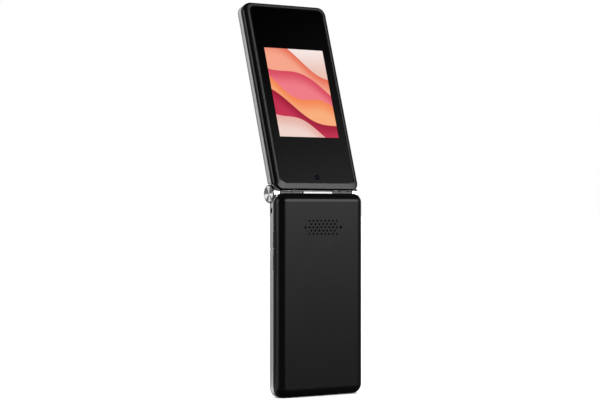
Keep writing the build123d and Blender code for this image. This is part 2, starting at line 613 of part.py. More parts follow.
with BuildPart() as base_chassis:
    with BuildSketch(base_plane(PLATE_BACK)):
        outline(CHASSIS_HALF_WIDTH, CHASSIS_STEP, CHASSIS_FAR, CHASSIS_THICK, SHEET_FAR_CORNER)
        with Locations(*BASE_POSTS):
            Circle(SCREW_R + 2 * PLANT_GAP, mode=Mode.SUBTRACT)
    extrude(amount=CHASSIS_THICK)
    with BuildSketch(base_plane(BRIDGE_BACK)):
        outline(CHASSIS_HALF_WIDTH, CHASSIS_NEAR, CHASSIS_STEP, SHEET_CORNER, CHASSIS_THICK)
    extrude(amount=CHASSIS_THICK)
    with BuildSketch(base_plane(BRIDGE_BACK)):
        with Locations((0, CHASSIS_STEP)):
            Rectangle(2 * CHASSIS_HALF_WIDTH, CHASSIS_RIB)
        with Locations((0, CHASSIS_STEP)):
            with GridLocations(2 * CHASSIS_HALF_WIDTH - CHASSIS_RIB, 1, 2, 1):
                Rectangle(CHASSIS_RIB, CHASSIS_RIB_TOP - CHASSIS_STEP, align=(Align.CENTER, Align.MIN))
    extrude(amount=BRIDGE_BACK - BAND_BACK)
    with BuildSketch(base_plane(PLATE_BACK + TRAY_HEIGHT)):
        with Locations((0, BATTERY_TOP - BATTERY[1] / 2)):
            Rectangle(BATTERY[0] + 2 * (BATTERY_ROOM + TRAY_WALL),
                      BATTERY[1] + 2 * (BATTERY_ROOM + TRAY_WALL))
            Rectangle(BATTERY[0] + 2 * BATTERY_ROOM, BATTERY[1] + 2 * BATTERY_ROOM, mode=Mode.SUBTRACT)
    extrude(amount=TRAY_HEIGHT)
    with BuildSketch(base_plane(PLATE_BACK + TRAY_HEIGHT)):
        with Locations((CONTACT_X, BATTERY_TOP)):
            Rectangle(3 * CONTACT_PITCH, BATTERY_ROOM + 2 * TRAY_WALL, align=(Align.CENTER, Align.MIN))
    extrude(amount=PLATE_BACK + TRAY_HEIGHT - BRIDGE_BACK, mode=Mode.SUBTRACT)
    with BuildSketch(base_plane(PLATE_BACK + TRAY_HEIGHT)):
        with Locations(*BASE_POSTS):
            Circle(SCREW_HEAD_R + 2 * FIT)
    extrude(amount=TRAY_HEIGHT, mode=Mode.SUBTRACT)
save(base_chassis, "base_chassis")

with BuildPart() as battery:
    with BuildSketch(base_plane(PLATE_BACK + FIT + BATTERY[2])):
        with Locations((0, BATTERY_TOP - BATTERY[1] / 2)):
            RectangleRounded(BATTERY[0], BATTERY[1], BATTERY_CORNER)
    extrude(amount=BATTERY[2])
    fillet(battery.edges().filter_by(Axis.Z), BATTERY_EDGE)
save(battery, "battery")

with BuildPart() as battery_contacts:
    with BuildSketch(base_plane(BRIDGE_BACK + CONTACT[2])):
        with Locations((CONTACT_X, BATTERY_TOP + FIT)):
            with GridLocations(CONTACT_PITCH, 1, 3, 1):
                Rectangle(CONTACT[0], CONTACT[1], align=(Align.CENTER, Align.MIN))
    extrude(amount=CONTACT[2])
save(battery_contacts, "battery_contacts")

with BuildPart() as sim_holder:
    with BuildSketch(base_plane(BRIDGE_BACK + SIM[2])):
        with Locations(SIM_PLACE):
            RectangleRounded(SIM[0], SIM[1], MODULE_CORNER)
    extrude(amount=SIM[2])
    with BuildSketch(base_plane(BRIDGE_BACK + SIM[2] - SIM_WALL)):
        with Locations(SIM_PLACE):
            Rectangle(SIM_SLOT[0], SIM[1] - 2 * SIM_WALL)
    extrude(amount=SIM_SLOT[1], mode=Mode.SUBTRACT)
save(sim_holder, "sim_holder")

with BuildPart() as loudspeaker:
    with BuildSketch(base_plane(SPEAKER_BACK)):
        with Locations((0, GRILLE_HEIGHT)):
            RectangleRounded(SPEAKER[0], SPEAKER[1], SPEAKER_CORNER)
    extrude(amount=SPEAKER_BACK - BRIDGE_BACK)
    with BuildSketch(base_plane(SPEAKER_BACK)):
        with Locations((0, GRILLE_HEIGHT)):
            SlotOverall(*SPEAKER_CONE)
    extrude(amount=SPEAKER_CONE_DEPTH, mode=Mode.SUBTRACT)
save(loudspeaker, "loudspeaker")

with BuildPart() as speaker_mesh:
    with BuildSketch(base_plane(COVER_INNER)):
        with Locations((0, GRILLE_HEIGHT)):
            RectangleRounded(*MESH, SPEAKER_CORNER)
    extrude(amount=FIT)
save(speaker_mesh, "speaker_mesh")

MOTOR_PLACE = (BRIDGE_BACK + FIT + MOTOR_R, MOTOR_HEIGHT)
with BuildPart() as vibration_motor:
    with BuildSketch(axis_plane(MOTOR_X)):
        with Locations(MOTOR_PLACE):
            Circle(MOTOR_R)
    extrude(amount=MOTOR_LENGTH)
    with BuildSketch(axis_plane(MOTOR_X + MOTOR_LENGTH)):
        with Locations(MOTOR_PLACE):
            Circle(MOTOR_R - FIT)
            Rectangle(MOTOR_R, 2 * MOTOR_R, align=(Align.MIN, Align.CENTER), mode=Mode.SUBTRACT)
            Circle(MOTOR_AXLE_R)
    extrude(amount=MOTOR_WEIGHT_LENGTH)
save(vibration_motor, "vibration_motor")

with BuildPart() as microphone:
    with BuildSketch(base_plane(BOARD_FRONT)):
        with Locations(MIC_PLACE):
            RectangleRounded(*MIC, MODULE_CORNER / 2)
    extrude(amount=BOARD_FRONT - FASCIA_BACK - FIT)
    with BuildSketch(base_plane(BOARD_FRONT - MIC_HOLE_R)):
        with Locations(MIC_HOLE_PLACE):
            Circle(MIC_HOLE_R - FIT)
    extrude(amount=BOARD_FRONT, mode=Mode.SUBTRACT)
save(microphone, "microphone")

with BuildPart() as usb_socket:
    with BuildSketch(Plane.XY.offset(USB_SET_BACK)):
        with Locations((USB_X, HINGE_Y + USB_DEPTH)):
            RectangleRounded(USB[0], USB[1], USB_CORNER)
            RectangleRounded(USB[0] - 2 * USB_WALL, USB[1] - 2 * USB_WALL, USB_CORNER - USB_WALL,
                             mode=Mode.SUBTRACT)
    extrude(amount=USB[2])
    with BuildSketch(Plane.XY.offset(USB_SET_BACK + USB[2])):
        with Locations((USB_X, HINGE_Y + USB_DEPTH)):
            RectangleRounded(USB[0], USB[1], USB_CORNER)
    extrude(amount=-2 * USB_WALL)
    with BuildSketch(Plane.XY.offset(USB_SET_BACK + USB[2])):
        with Locations((USB_X, HINGE_Y + USB_DEPTH - USB_WALL)):
            Rectangle(*USB_TONGUE)
    extrude(amount=2 * USB_WALL - USB[2])
save(usb_socket, "usb_socket")

with BuildPart() as antenna:
    with BuildSketch(base_plane(PLATE_BACK + 2 * FIT)):
        with Locations((0, ANTENNA_HEIGHT)):
            Rectangle(*ANTENNA)
            with Locations(ANTENNA_SLOT_STEP, (-ANTENNA_SLOT_STEP[0], -ANTENNA_SLOT_STEP[1])):
                Rectangle(*ANTENNA_SLOT, mode=Mode.SUBTRACT)
    extrude(amount=2 * FIT)
save(antenna, "antenna")

with BuildPart() as base_screws:
    with BuildSketch(base_plane(PLATE_BACK + SCREW_HEAD)):
        with Locations(*BASE_POSTS):
            Circle(SCREW_HEAD_R)
    extrude(amount=SCREW_HEAD)
    with BuildSketch(base_plane(PLATE_BACK)):
        with Locations(*BASE_POSTS):
            Circle(SCREW_R)
    extrude(amount=PLATE_BACK - FASCIA_BACK - FIT)
    with BuildSketch(base_plane(PLATE_BACK + SCREW_HEAD)):
        with Locations(*BASE_POSTS):
            Rectangle(DRIVE_SLOT[0], DRIVE_SLOT[1])
            Rectangle(DRIVE_SLOT[1], DRIVE_SLOT[0])
    extrude(amount=DRIVE_SLOT[2], mode=Mode.SUBTRACT)
save(base_screws, "base_screws")

# ------------------------------------------------------------------ base: side keys
FLANGE_OUT = HALF_WIDTH - COVER_WALL - SIDE_KEY_GAP
SWITCH_OUT = FLANGE_OUT - SIDE_FLANGE_THICK - KEY_TRAVEL - PLANT_GAP

for name, height in SIDE_KEY_HEIGHTS.items():
    with BuildPart() as side_key:
        with BuildSketch(axis_plane(FLANGE_OUT)):
            with Locations((SIDE_KEY_DEPTH, height)):
                RectangleRounded(SIDE_KEY_WIDTH, SIDE_KEY_LENGTH, SIDE_KEY_CORNER)
        extrude(amount=HALF_WIDTH + SIDE_KEY_PROUD - FLANGE_OUT)
        fillet(side_key.faces().sort_by(Axis.X)[-1].edges(), SIDE_KEY_ROUND)
        with BuildSketch(axis_plane(FLANGE_OUT - SIDE_FLANGE_THICK)):
            with Locations((SIDE_KEY_DEPTH, height)):
                RectangleRounded(SIDE_KEY_WIDTH, SIDE_KEY_LENGTH + 2 * SIDE_FLANGE_RIM, SIDE_KEY_CORNER)
        extrude(amount=SIDE_FLANGE_THICK)
    save(side_key, name)

with BuildPart() as side_switches:
    for height in SIDE_KEY_HEIGHTS.values():
        with BuildSketch(axis_plane(SWITCH_OUT - SWITCH_BUTTON[0])):
            with Locations((BRIDGE_BACK, height)):
                Rectangle(SWITCH_DEEP, SWITCH[1], align=(Align.MIN, Align.CENTER))
        extrude(amount=-SWITCH[0])
        with BuildSketch(axis_plane(SWITCH_OUT)):
            with Locations((BRIDGE_BACK, height)):
                Rectangle(SWITCH_BUTTON[1], SWITCH_BUTTON[2], align=(Align.MIN, Align.CENTER))
        extrude(amount=-SWITCH_BUTTON[0])
save(side_switches, "side_switches")

# ------------------------------------------------------------------ lid: casing
with BuildPart() as lid_frame:
    with BuildSketch(lid_plane(LIP_R)):
        outline(HALF_WIDTH, 0, HALF_LENGTH, NEAR_CORNER, FAR_CORNER)
        outline(HALF_WIDTH - FRAME_LEDGE, LIP_R + FRAME_WALL, HALF_LENGTH - FRAME_LEDGE, FASCIA_CORNER,
                FAR_CORNER - FRAME_LEDGE, mode=Mode.SUBTRACT)
    extrude(amount=LIP_R - LID_BAND_FRONT)
    with BuildSketch(lid_axis_plane(-WIDTH)):
        with Locations((LID_BAND_BACK, -BARREL_R)):
            Rectangle(LIP_R, HALF_LENGTH + 2 * LIP_R, align=(Align.MIN, Align.MIN))
        Circle(LIP_R, mode=Mode.SUBTRACT)
    extrude(amount=2 * WIDTH, mode=Mode.SUBTRACT)
    with BuildSketch(lid_plane(LID_FASCIA_BACK)):
        outline(FASCIA_HALF_WIDTH + FIT, FASCIA_NEAR - FIT, FASCIA_FAR + FIT, FASCIA_CORNER + FIT,
                FAR_CORNER - FRAME_WALL)
    extrude(amount=LID_FASCIA_BACK, mode=Mode.SUBTRACT)
    for side in SIDES:
        bar_between(side * LID_KNUCKLE_END, side * WIDTH, RELIEF_R, Mode.SUBTRACT)
    bar_between(-LID_KNUCKLE_END, LID_KNUCKLE_END, BARREL_R, Mode.ADD)
    with BuildSketch(lid_axis_plane(-SLEEVE_END)):
        Circle(BARREL_R + FIT)
        Circle(BARREL_R - SLEEVE_THICK, mode=Mode.SUBTRACT)
        Rectangle(2 * BARREL_R, 2 * BARREL_R, align=(Align.MIN, Align.MIN), mode=Mode.SUBTRACT)
    extrude(amount=2 * SLEEVE_END, mode=Mode.SUBTRACT)
    bar_between(FLEX_START - RUN_GAP, WIDTH, CAN_R + PLANT_GAP, Mode.SUBTRACT)
    bar_between(-WIDTH, FLEX_START - RUN_GAP, PIN_R + RUN_GAP, Mode.SUBTRACT)
    with BuildSketch(lid_plane(ROLL_R + (FLEX_SLOT_DEEP - FLEX_THICK) / 2)):
        with Locations((FLEX_X, 0)):
            Rectangle(FLEX_WIDTH + 2 * FLEX_SLOT_ROOM, FLEX_SLOT_END, align=(Align.CENTER, Align.MIN))
    extrude(amount=FLEX_SLOT_DEEP, mode=Mode.SUBTRACT)
save(lid_frame, "lid_frame")

with BuildPart() as lid_hollow:
    with BuildSketch(lid_plane(LEDGE_FRONT)):
        outline(HALF_WIDTH - FRAME_WALL, FRAME_WALL, HALF_LENGTH - FRAME_WALL, NEAR_CORNER - FRAME_WALL,
                FAR_CORNER - FRAME_WALL)
    extrude(amount=LEDGE_FRONT - LID_BAND_BACK)
    bar_between(-WIDTH, WIDTH, LIP_R + COVER_WALL, Mode.SUBTRACT)

EDGE_SECTIONS = []
for angle in EDGE_ANGLES:
    drawn_in = 1 - cos(radians(angle))
    with BuildSketch(lid_plane(EDGE_START + EDGE_DEPTH * sin(radians(angle)))) as section:
        outline(HALF_WIDTH - SIDE_EDGE * drawn_in, NEAR_EDGE * drawn_in, HALF_LENGTH - FAR_EDGE * drawn_in,
                NEAR_CORNER - SIDE_EDGE * drawn_in, FAR_CORNER - SIDE_EDGE * drawn_in)
    EDGE_SECTIONS.append(section.sketch)
with BuildSketch(lid_plane(LID_DEPTH)) as glass_border:
    outline(GLASS_HALF_WIDTH, GLASS_NEAR, GLASS_FAR, GLASS_CORNER, GLASS_CORNER)

with BuildPart() as lid_shell:
    with BuildSketch(lid_plane(EDGE_START)):
        outline(HALF_WIDTH, 0, HALF_LENGTH, NEAR_CORNER, FAR_CORNER)
    extrude(amount=EDGE_START - LID_BAND_BACK)
    loft(EDGE_SECTIONS)
    loft([EDGE_SECTIONS[-1], glass_border.sketch], ruled=True)
    add(lid_hollow.part, mode=Mode.SUBTRACT)
    extrude(glass_border.sketch, amount=GLASS_THICK, mode=Mode.SUBTRACT)
    with BuildSketch(lid_plane(GLASS_BACK)):
        with Locations((0, OUTER_VIEW_MID)):
            Rectangle(OUTER_MODULE[0] + 2 * FIT, OUTER_MODULE[1] + 2 * FIT)
    extrude(amount=SHELL_LEDGE, mode=Mode.SUBTRACT)
    bar_between(-WIDTH, WIDTH, LIP_R + PLANT_GAP, Mode.SUBTRACT)
    with BuildSketch(lid_plane(GLASS_BACK)):
        with Locations((0, CAMERA_HEIGHT)):
            Circle(CAMERA_R + FIT)
    extrude(amount=CAMERA_POCKET, mode=Mode.SUBTRACT)
    with BuildSketch(lid_plane(LEDGE_FRONT)):
        with Locations(*LID_POSTS):
            Circle(LID_POST_R)
    extrude(amount=LEDGE_FRONT - LID_FASCIA_BACK - FIT)
    with BuildSketch(lid_plane(LEDGE_FRONT)):
        with Locations(*LID_POSTS):
            Circle(SCREW_R + PLANT_GAP)
    extrude(amount=LEDGE_FRONT - LID_FASCIA_BACK, mode=Mode.SUBTRACT)
save(lid_shell, "lid_shell")

with BuildPart() as lid_glass:
    with BuildSketch(lid_plane(LID_DEPTH)):
        outline(GLASS_HALF_WIDTH - PLANT_GAP, GLASS_NEAR + PLANT_GAP, GLASS_FAR - PLANT_GAP,
                GLASS_CORNER - PLANT_GAP, GLASS_CORNER - PLANT_GAP)
    extrude(amount=GLASS_THICK)
save(lid_glass, "lid_glass")

with BuildPart() as lid_fascia:
    with BuildSketch(lid_plane(LID_FASCIA_BACK)):
        outline(FASCIA_HALF_WIDTH, FASCIA_NEAR, FASCIA_FAR, FASCIA_CORNER, FAR_CORNER - FRAME_WALL - FIT)
    extrude(amount=LID_FASCIA_THICK)
    with BuildSketch(lid_plane(FACE_DEPTH + LENS_THICK)):
        outline(LENS_HALF_WIDTH + PLANT_GAP, LENS_NEAR - PLANT_GAP, LENS_FAR + PLANT_GAP,
                LENS_CORNER + PLANT_GAP, LENS_CORNER + PLANT_GAP)
    extrude(amount=LENS_THICK, mode=Mode.SUBTRACT)
    with BuildSketch(lid_plane(LID_FASCIA_BACK)):
        with Locations((0, INNER_VIEW_MID)):
            Rectangle(INNER_VIEW[0] + INNER_WINDOW_ROOM, INNER_VIEW[1] + INNER_WINDOW_ROOM)
        with Locations((0, EAR_HEIGHT)):
            SlotOverall(*EAR_SLOT)
        with Locations(*LID_POSTS):
            Circle(SCREW_HEAD_R + FIT)
    extrude(amount=LID_FASCIA_THICK, mode=Mode.SUBTRACT)
save(lid_fascia, "lid_fascia")

# ------------------------------------------------------------------ lid: what it holds
with BuildPart() as inner_lens:
    with BuildSketch(lid_plane(FACE_DEPTH + LENS_THICK)):
        outline(LENS_HALF_WIDTH, LENS_NEAR, LENS_FAR, LENS_CORNER, LENS_CORNER)
    extrude(amount=LENS_THICK)
save(inner_lens, "inner_lens")

with BuildPart() as inner_display:
    with BuildSketch(lid_plane(INNER_MODULE_BACK)):
        with Locations((0, INNER_VIEW_MID - INNER_MODULE_DROP)):
            RectangleRounded(INNER_VIEW[0] + INNER_BORDER[0], INNER_VIEW[1] + INNER_BORDER[1], MODULE_CORNER)
    extrude(amount=INNER_MODULE_THICK)
save(inner_display, "inner_display")

with BuildPart() as outer_display:
    with BuildSketch(lid_plane(GLASS_BACK - PLANT_GAP)):
        with Locations((0, OUTER_VIEW_MID)):
            RectangleRounded(*OUTER_MODULE, MODULE_CORNER)
    extrude(amount=OUTER_MODULE_THICK)
save(outer_display, "outer_display")

with BuildPart() as lid_board:
    with BuildSketch(lid_plane(LID_BOARD_FRONT + BOARD_THICK)):
        outline(*LID_BOARD, MODULE_CORNER, MODULE_CORNER)
    extrude(amount=BOARD_THICK)
    with BuildSketch(lid_plane(LEDGE_FRONT - FIT)):
        with Locations((0, LID_CHIP_HEIGHT)):
            with GridLocations(LID_CHIP_STEP, 1, 3, 1):
                Rectangle(*LID_CHIP)
    extrude(amount=LEDGE_FRONT - FIT - LID_BOARD_FRONT - BOARD_THICK)
save(lid_board, "lid_board")

with BuildPart() as earpiece:
    with BuildSketch(lid_plane(LID_FASCIA_BACK + FIT + EARPIECE[2])):
        with Locations((0, EAR_HEIGHT)):
            RectangleRounded(EARPIECE[0], EARPIECE[1], 2 * MODULE_CORNER)
    extrude(amount=EARPIECE[2])
    with BuildSketch(lid_plane(LID_FASCIA_BACK + FIT + EARPIECE_MESH_DROP)):
        with Locations((0, EAR_HEIGHT)):
            SlotOverall(*EAR_SLOT)
    extrude(amount=EARPIECE_MESH_DROP, mode=Mode.SUBTRACT)
save(earpiece, "earpiece")

with BuildPart() as camera_module:
    with BuildSketch(lid_plane(GLASS_BACK - PLANT_GAP)):
        with Locations((0, CAMERA_HEIGHT)):
            Circle(CAMERA_R)
    extrude(amount=CAMERA_LENGTH)
    with BuildSketch(lid_plane(GLASS_BACK)):
        with Locations((0, CAMERA_HEIGHT)):
            Circle(PUPIL_R)
    extrude(amount=PUPIL_DEPTH, mode=Mode.SUBTRACT)
save(camera_module, "camera_module")

with BuildPart() as lid_screws:
    with BuildSketch(lid_plane(LID_FASCIA_BACK + FIT)):
        with Locations(*LID_POSTS):
            Circle(SCREW_HEAD_R)
    extrude(amount=SCREW_HEAD)
    with BuildSketch(lid_plane(LEDGE_FRONT - FIT)):
        with Locations(*LID_POSTS):
            Circle(SCREW_R)
    extrude(amount=LEDGE_FRONT - LID_FASCIA_BACK - 2 * FIT)
save(lid_screws, "lid_screws")

with BuildPart() as lid_bumpers:
    with BuildSketch(lid_plane(LID_FASCIA_BACK + FIT - SCREW_HEAD - PLANT_GAP)):
        with Locations(*LID_POSTS):
            Circle(SCREW_HEAD_R + PLANT_GAP)
    extrude(amount=LID_FASCIA_BACK + FIT - SCREW_HEAD - PLANT_GAP - FACE_DEPTH + BUMPER_PROUD)
    fillet(lid_bumpers.faces().filter_by(lid_plane(0)).edges(), BUMPER_ROUND)
save(lid_bumpers, "lid_bumpers")

# ------------------------------------------------------------------ hinge
for side, label in zip(SIDES, ("hinge_cap_left", "hinge_cap_right")):
    start = side * (BASE_KNUCKLE_END + PLANT_GAP)
    floor = side * (CAP_FACE - CAP_DISC)
    face = side * CAP_FACE
    with BuildPart() as hinge_cap:
        turn((start, CORE_R + PLANT_GAP), (floor, CORE_R + PLANT_GAP), (floor, 0),
             (face - side * CAP_DISH, 0), (face, BARREL_R - CAP_WALL), (face, BARREL_R - CAP_EDGE),
             (face - side * CAP_EDGE, BARREL_R), (start, BARREL_R))
    save(hinge_cap, label)

with BuildPart() as barrel_cover:
    with BuildSketch(lid_axis_plane(PLANT_GAP - SLEEVE_END)):
        Circle(BARREL_R)
        Circle(BARREL_R - SLEEVE_THICK + PLANT_GAP, mode=Mode.SUBTRACT)
        Rectangle(2 * BARREL_R, 2 * BARREL_R, align=(Align.MIN, Align.MIN), mode=Mode.SUBTRACT)
    extrude(amount=2 * (SLEEVE_END - PLANT_GAP))
save(barrel_cover, "barrel_cover")

with BuildPart() as pivot_pin:
    turn((-SHAFT_HEAD_END, PIN_BORE_R), (-PIN_INNER_END, PIN_BORE_R), (-PIN_INNER_END, PIN_R),
         (-SHAFT_HEAD_END, PIN_R))
save(pivot_pin, "pivot_pin")

with BuildPart() as hinge_can:
    turn((CAN_CLOSED_END, 0), (CAN_CLOSED_END, CAN_R), (CAN_OPEN_END, CAN_R), (CAN_OPEN_END, CAN_INNER_R),
         (CAN_FLOOR, CAN_INNER_R), (CAN_FLOOR, 0))
save(hinge_can, "hinge_can")

with BuildPart() as hinge_cam:
    turn((CAM_START, SHAFT_R + RUN_GAP), (CAM_START, CAN_INNER_R - RUN_GAP),
         (CAM_END, CAN_INNER_R - RUN_GAP), (CAM_END - CAM_SLOPE, SHAFT_R + RUN_GAP))
save(hinge_cam, "hinge_cam")

with BuildPart() as hinge_spring:
    with BuildLine():
        coil = Helix(SPRING_LENGTH / SPRING_TURNS, SPRING_LENGTH, SPRING_R,
                     center=(SPRING_START, HINGE_Y, HINGE_Z), direction=(1, 0, 0))
    with BuildSketch(Plane(origin=coil @ 0, z_dir=coil % 0)):
        Circle(SPRING_WIRE_R)
    sweep()
save(hinge_spring, "hinge_spring")

with BuildPart() as hinge_shaft:
    turn((CAN_FLOOR + FIT, 0), (CAN_FLOOR + FIT, SHAFT_R), (CAM_END + FIT, SHAFT_R), (NECK_START, NECK_R),
         (BASE_KNUCKLE_START + FIT, NECK_R), (BASE_KNUCKLE_START + FIT, 0))
    with BuildSketch(axis_plane(BASE_KNUCKLE_START + FIT)):
        Circle(PIN_R)
        Rectangle(2 * PIN_R, 2 * SHAFT_FLAT, mode=Mode.INTERSECT)
    extrude(amount=SHAFT_HEAD_END - BASE_KNUCKLE_START - FIT)
save(hinge_shaft, "hinge_shaft")

with BuildPart() as display_flex:
    with BuildSketch(lid_axis_plane(FLEX_START)):
        Circle(ROLL_R)
        Circle(ROLL_R - FLEX_THICK, mode=Mode.SUBTRACT)
    extrude(amount=FLEX_WIDTH)
    with BuildSketch(lid_plane(ROLL_R)):
        with Locations((FLEX_X, 0)):
            Rectangle(FLEX_WIDTH, FLEX_TAIL, align=(Align.CENTER, Align.MIN))
    extrude(amount=FLEX_THICK)
    with BuildSketch(lid_plane(LID_BOARD_FRONT)):
        with Locations((FLEX_X, FLEX_PLUG_HEIGHT)):
            Rectangle(*FLEX_PLUG)
    extrude(amount=LID_BOARD_FRONT - ROLL_R)
    with BuildSketch(axis_plane(FLEX_START)):
        Rectangle(2 * ROLL_R - FLEX_THICK, FLEX_THICK)
    extrude(amount=FLEX_LINK)
    with BuildSketch(axis_plane(FLEX_START)):
        Rectangle(FLEX_TAIL_WIDTH, FLEX_THICK)
    extrude(amount=-FLEX_START - SHAFT_HEAD_END)
save(display_flex, "display_flex")
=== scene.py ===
"""Dresses the flip phone: its finishes, the prints on its keys, the studio and the camera.

Metres, +Z up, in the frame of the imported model. The base stands on its bottom end and the lid is open.
"""

from __future__ import annotations

import logging
import math
from dataclasses import dataclass, field
from enum import Enum
from typing import Any, Optional, Union

import bmesh
import bpy
from mathutils import Matrix, Vector

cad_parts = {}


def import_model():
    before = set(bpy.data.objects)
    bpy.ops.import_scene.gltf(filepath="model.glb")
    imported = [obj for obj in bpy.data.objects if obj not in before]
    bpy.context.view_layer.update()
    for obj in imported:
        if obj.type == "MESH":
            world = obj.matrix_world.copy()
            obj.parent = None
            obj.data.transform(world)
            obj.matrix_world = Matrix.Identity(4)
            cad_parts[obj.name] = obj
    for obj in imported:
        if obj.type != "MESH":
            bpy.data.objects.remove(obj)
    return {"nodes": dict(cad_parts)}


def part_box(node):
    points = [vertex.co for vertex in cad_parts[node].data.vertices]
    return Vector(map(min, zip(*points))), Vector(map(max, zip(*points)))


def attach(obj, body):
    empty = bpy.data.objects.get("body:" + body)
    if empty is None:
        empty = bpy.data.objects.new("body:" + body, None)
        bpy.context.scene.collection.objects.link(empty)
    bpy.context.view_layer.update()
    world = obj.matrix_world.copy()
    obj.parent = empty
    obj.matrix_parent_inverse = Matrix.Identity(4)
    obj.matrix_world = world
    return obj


FRAME: dict[str, Any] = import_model()
LOG = logging.getLogger("flip_phone")
MM = 0.001

# The hinge axis runs along X through HINGE. The open lid leans forward of the base by LEAN.
ORIGIN = Vector((0.0, 0.0, 0.0))
ACROSS = Vector((1.0, 0.0, 0.0))
BACK = Vector((0.0, 1.0, 0.0))
UP = Vector((0.0, 0.0, 1.0))
HINGE = Vector((0.0, -2.55 * MM, 103.2 * MM))
LEAN = math.radians(17.8)
LID_UP = Vector((0.0, -math.sin(LEAN), math.cos(LEAN)))
LID_BACK = Vector((0.0, math.cos(LEAN), math.sin(LEAN)))

Colour = tuple[float, float, float]
Stretch = tuple[float, float, float]
Span = tuple[float, float]
Number = Union[float, "Wire"]

UNLIT: Colour = (0.0, 0.0, 0.0)
SOFT_DETAIL = 2.0  # Octaves of noise that has no finer grain.
NEAR_NOUGHT = 1e-6  # Keeps a length above nought before it divides.


# ---------------------------------------------------------------- shader expressions
@dataclass(frozen=True)
class Wire:
    """One output socket of a shader node, with arithmetic that adds Math nodes."""

    graph: Graph
    socket: bpy.types.NodeSocket

    def _math(self, operation: str, *values: Number) -> Wire:
        """Add a Math node that works on the given values."""
        return self.graph.node("ShaderNodeMath", {"operation": operation}, dict(enumerate(values)))

    def __add__(self, other: Number) -> Wire:
        """Return self + other."""
        return self._math("ADD", self, other)

    __radd__ = __add__

    def __sub__(self, other: Number) -> Wire:
        """Return self - other."""
        return self._math("SUBTRACT", self, other)

    def __rsub__(self, other: Number) -> Wire:
        """Return other - self."""
        return self._math("SUBTRACT", other, self)

    def __mul__(self, other: Number) -> Wire:
        """Return self * other."""
        return self._math("MULTIPLY", self, other)

    __rmul__ = __mul__

    def __truediv__(self, other: Number) -> Wire:
        """Return self / other."""
        return self._math("DIVIDE", self, other)

    def __pow__(self, other: Number) -> Wire:
        """Return self to the power of other."""
        return self._math("POWER", self, other)

    def __gt__(self, other: Number) -> Wire:
        """Return 1 where self is above other, else 0."""
        return self._math("GREATER_THAN", self, other)

    def __lt__(self, other: Number) -> Wire:
        """Return 1 where self is below other, else 0."""
        return self._math("LESS_THAN", self, other)

    def __abs__(self) -> Wire:
        """Return the size of self without its sign."""
        return self._math("ABSOLUTE", self)

    def sine(self) -> Wire:
        """Return the sine of self, in radians."""
        return self._math("SINE", self)

    def either(self, other: Number) -> Wire:
        """Return the larger of the two."""
        return self._math("MAXIMUM", self, other)

    def both(self, other: Number) -> Wire:
        """Return the smaller of the two."""
        return self._math("MINIMUM", self, other)

    def step(self, low: float, high: float) -> Wire:
        """Rise smoothly from 0 at low to 1 at high.

        Args:
            low: Value at which the result is 0.
            high: Value at which the result is 1. It may be below low, for a falling step.

        Returns:
            The eased share, between 0 and 1.
        """
        if high < low:
            return 1 - self.step(high, low)
        settings = {"interpolation_type": "SMOOTHSTEP", "clamp": True}
        return self.graph.node("ShaderNodeMapRange", settings, {0: self, 1: low, 2: high})


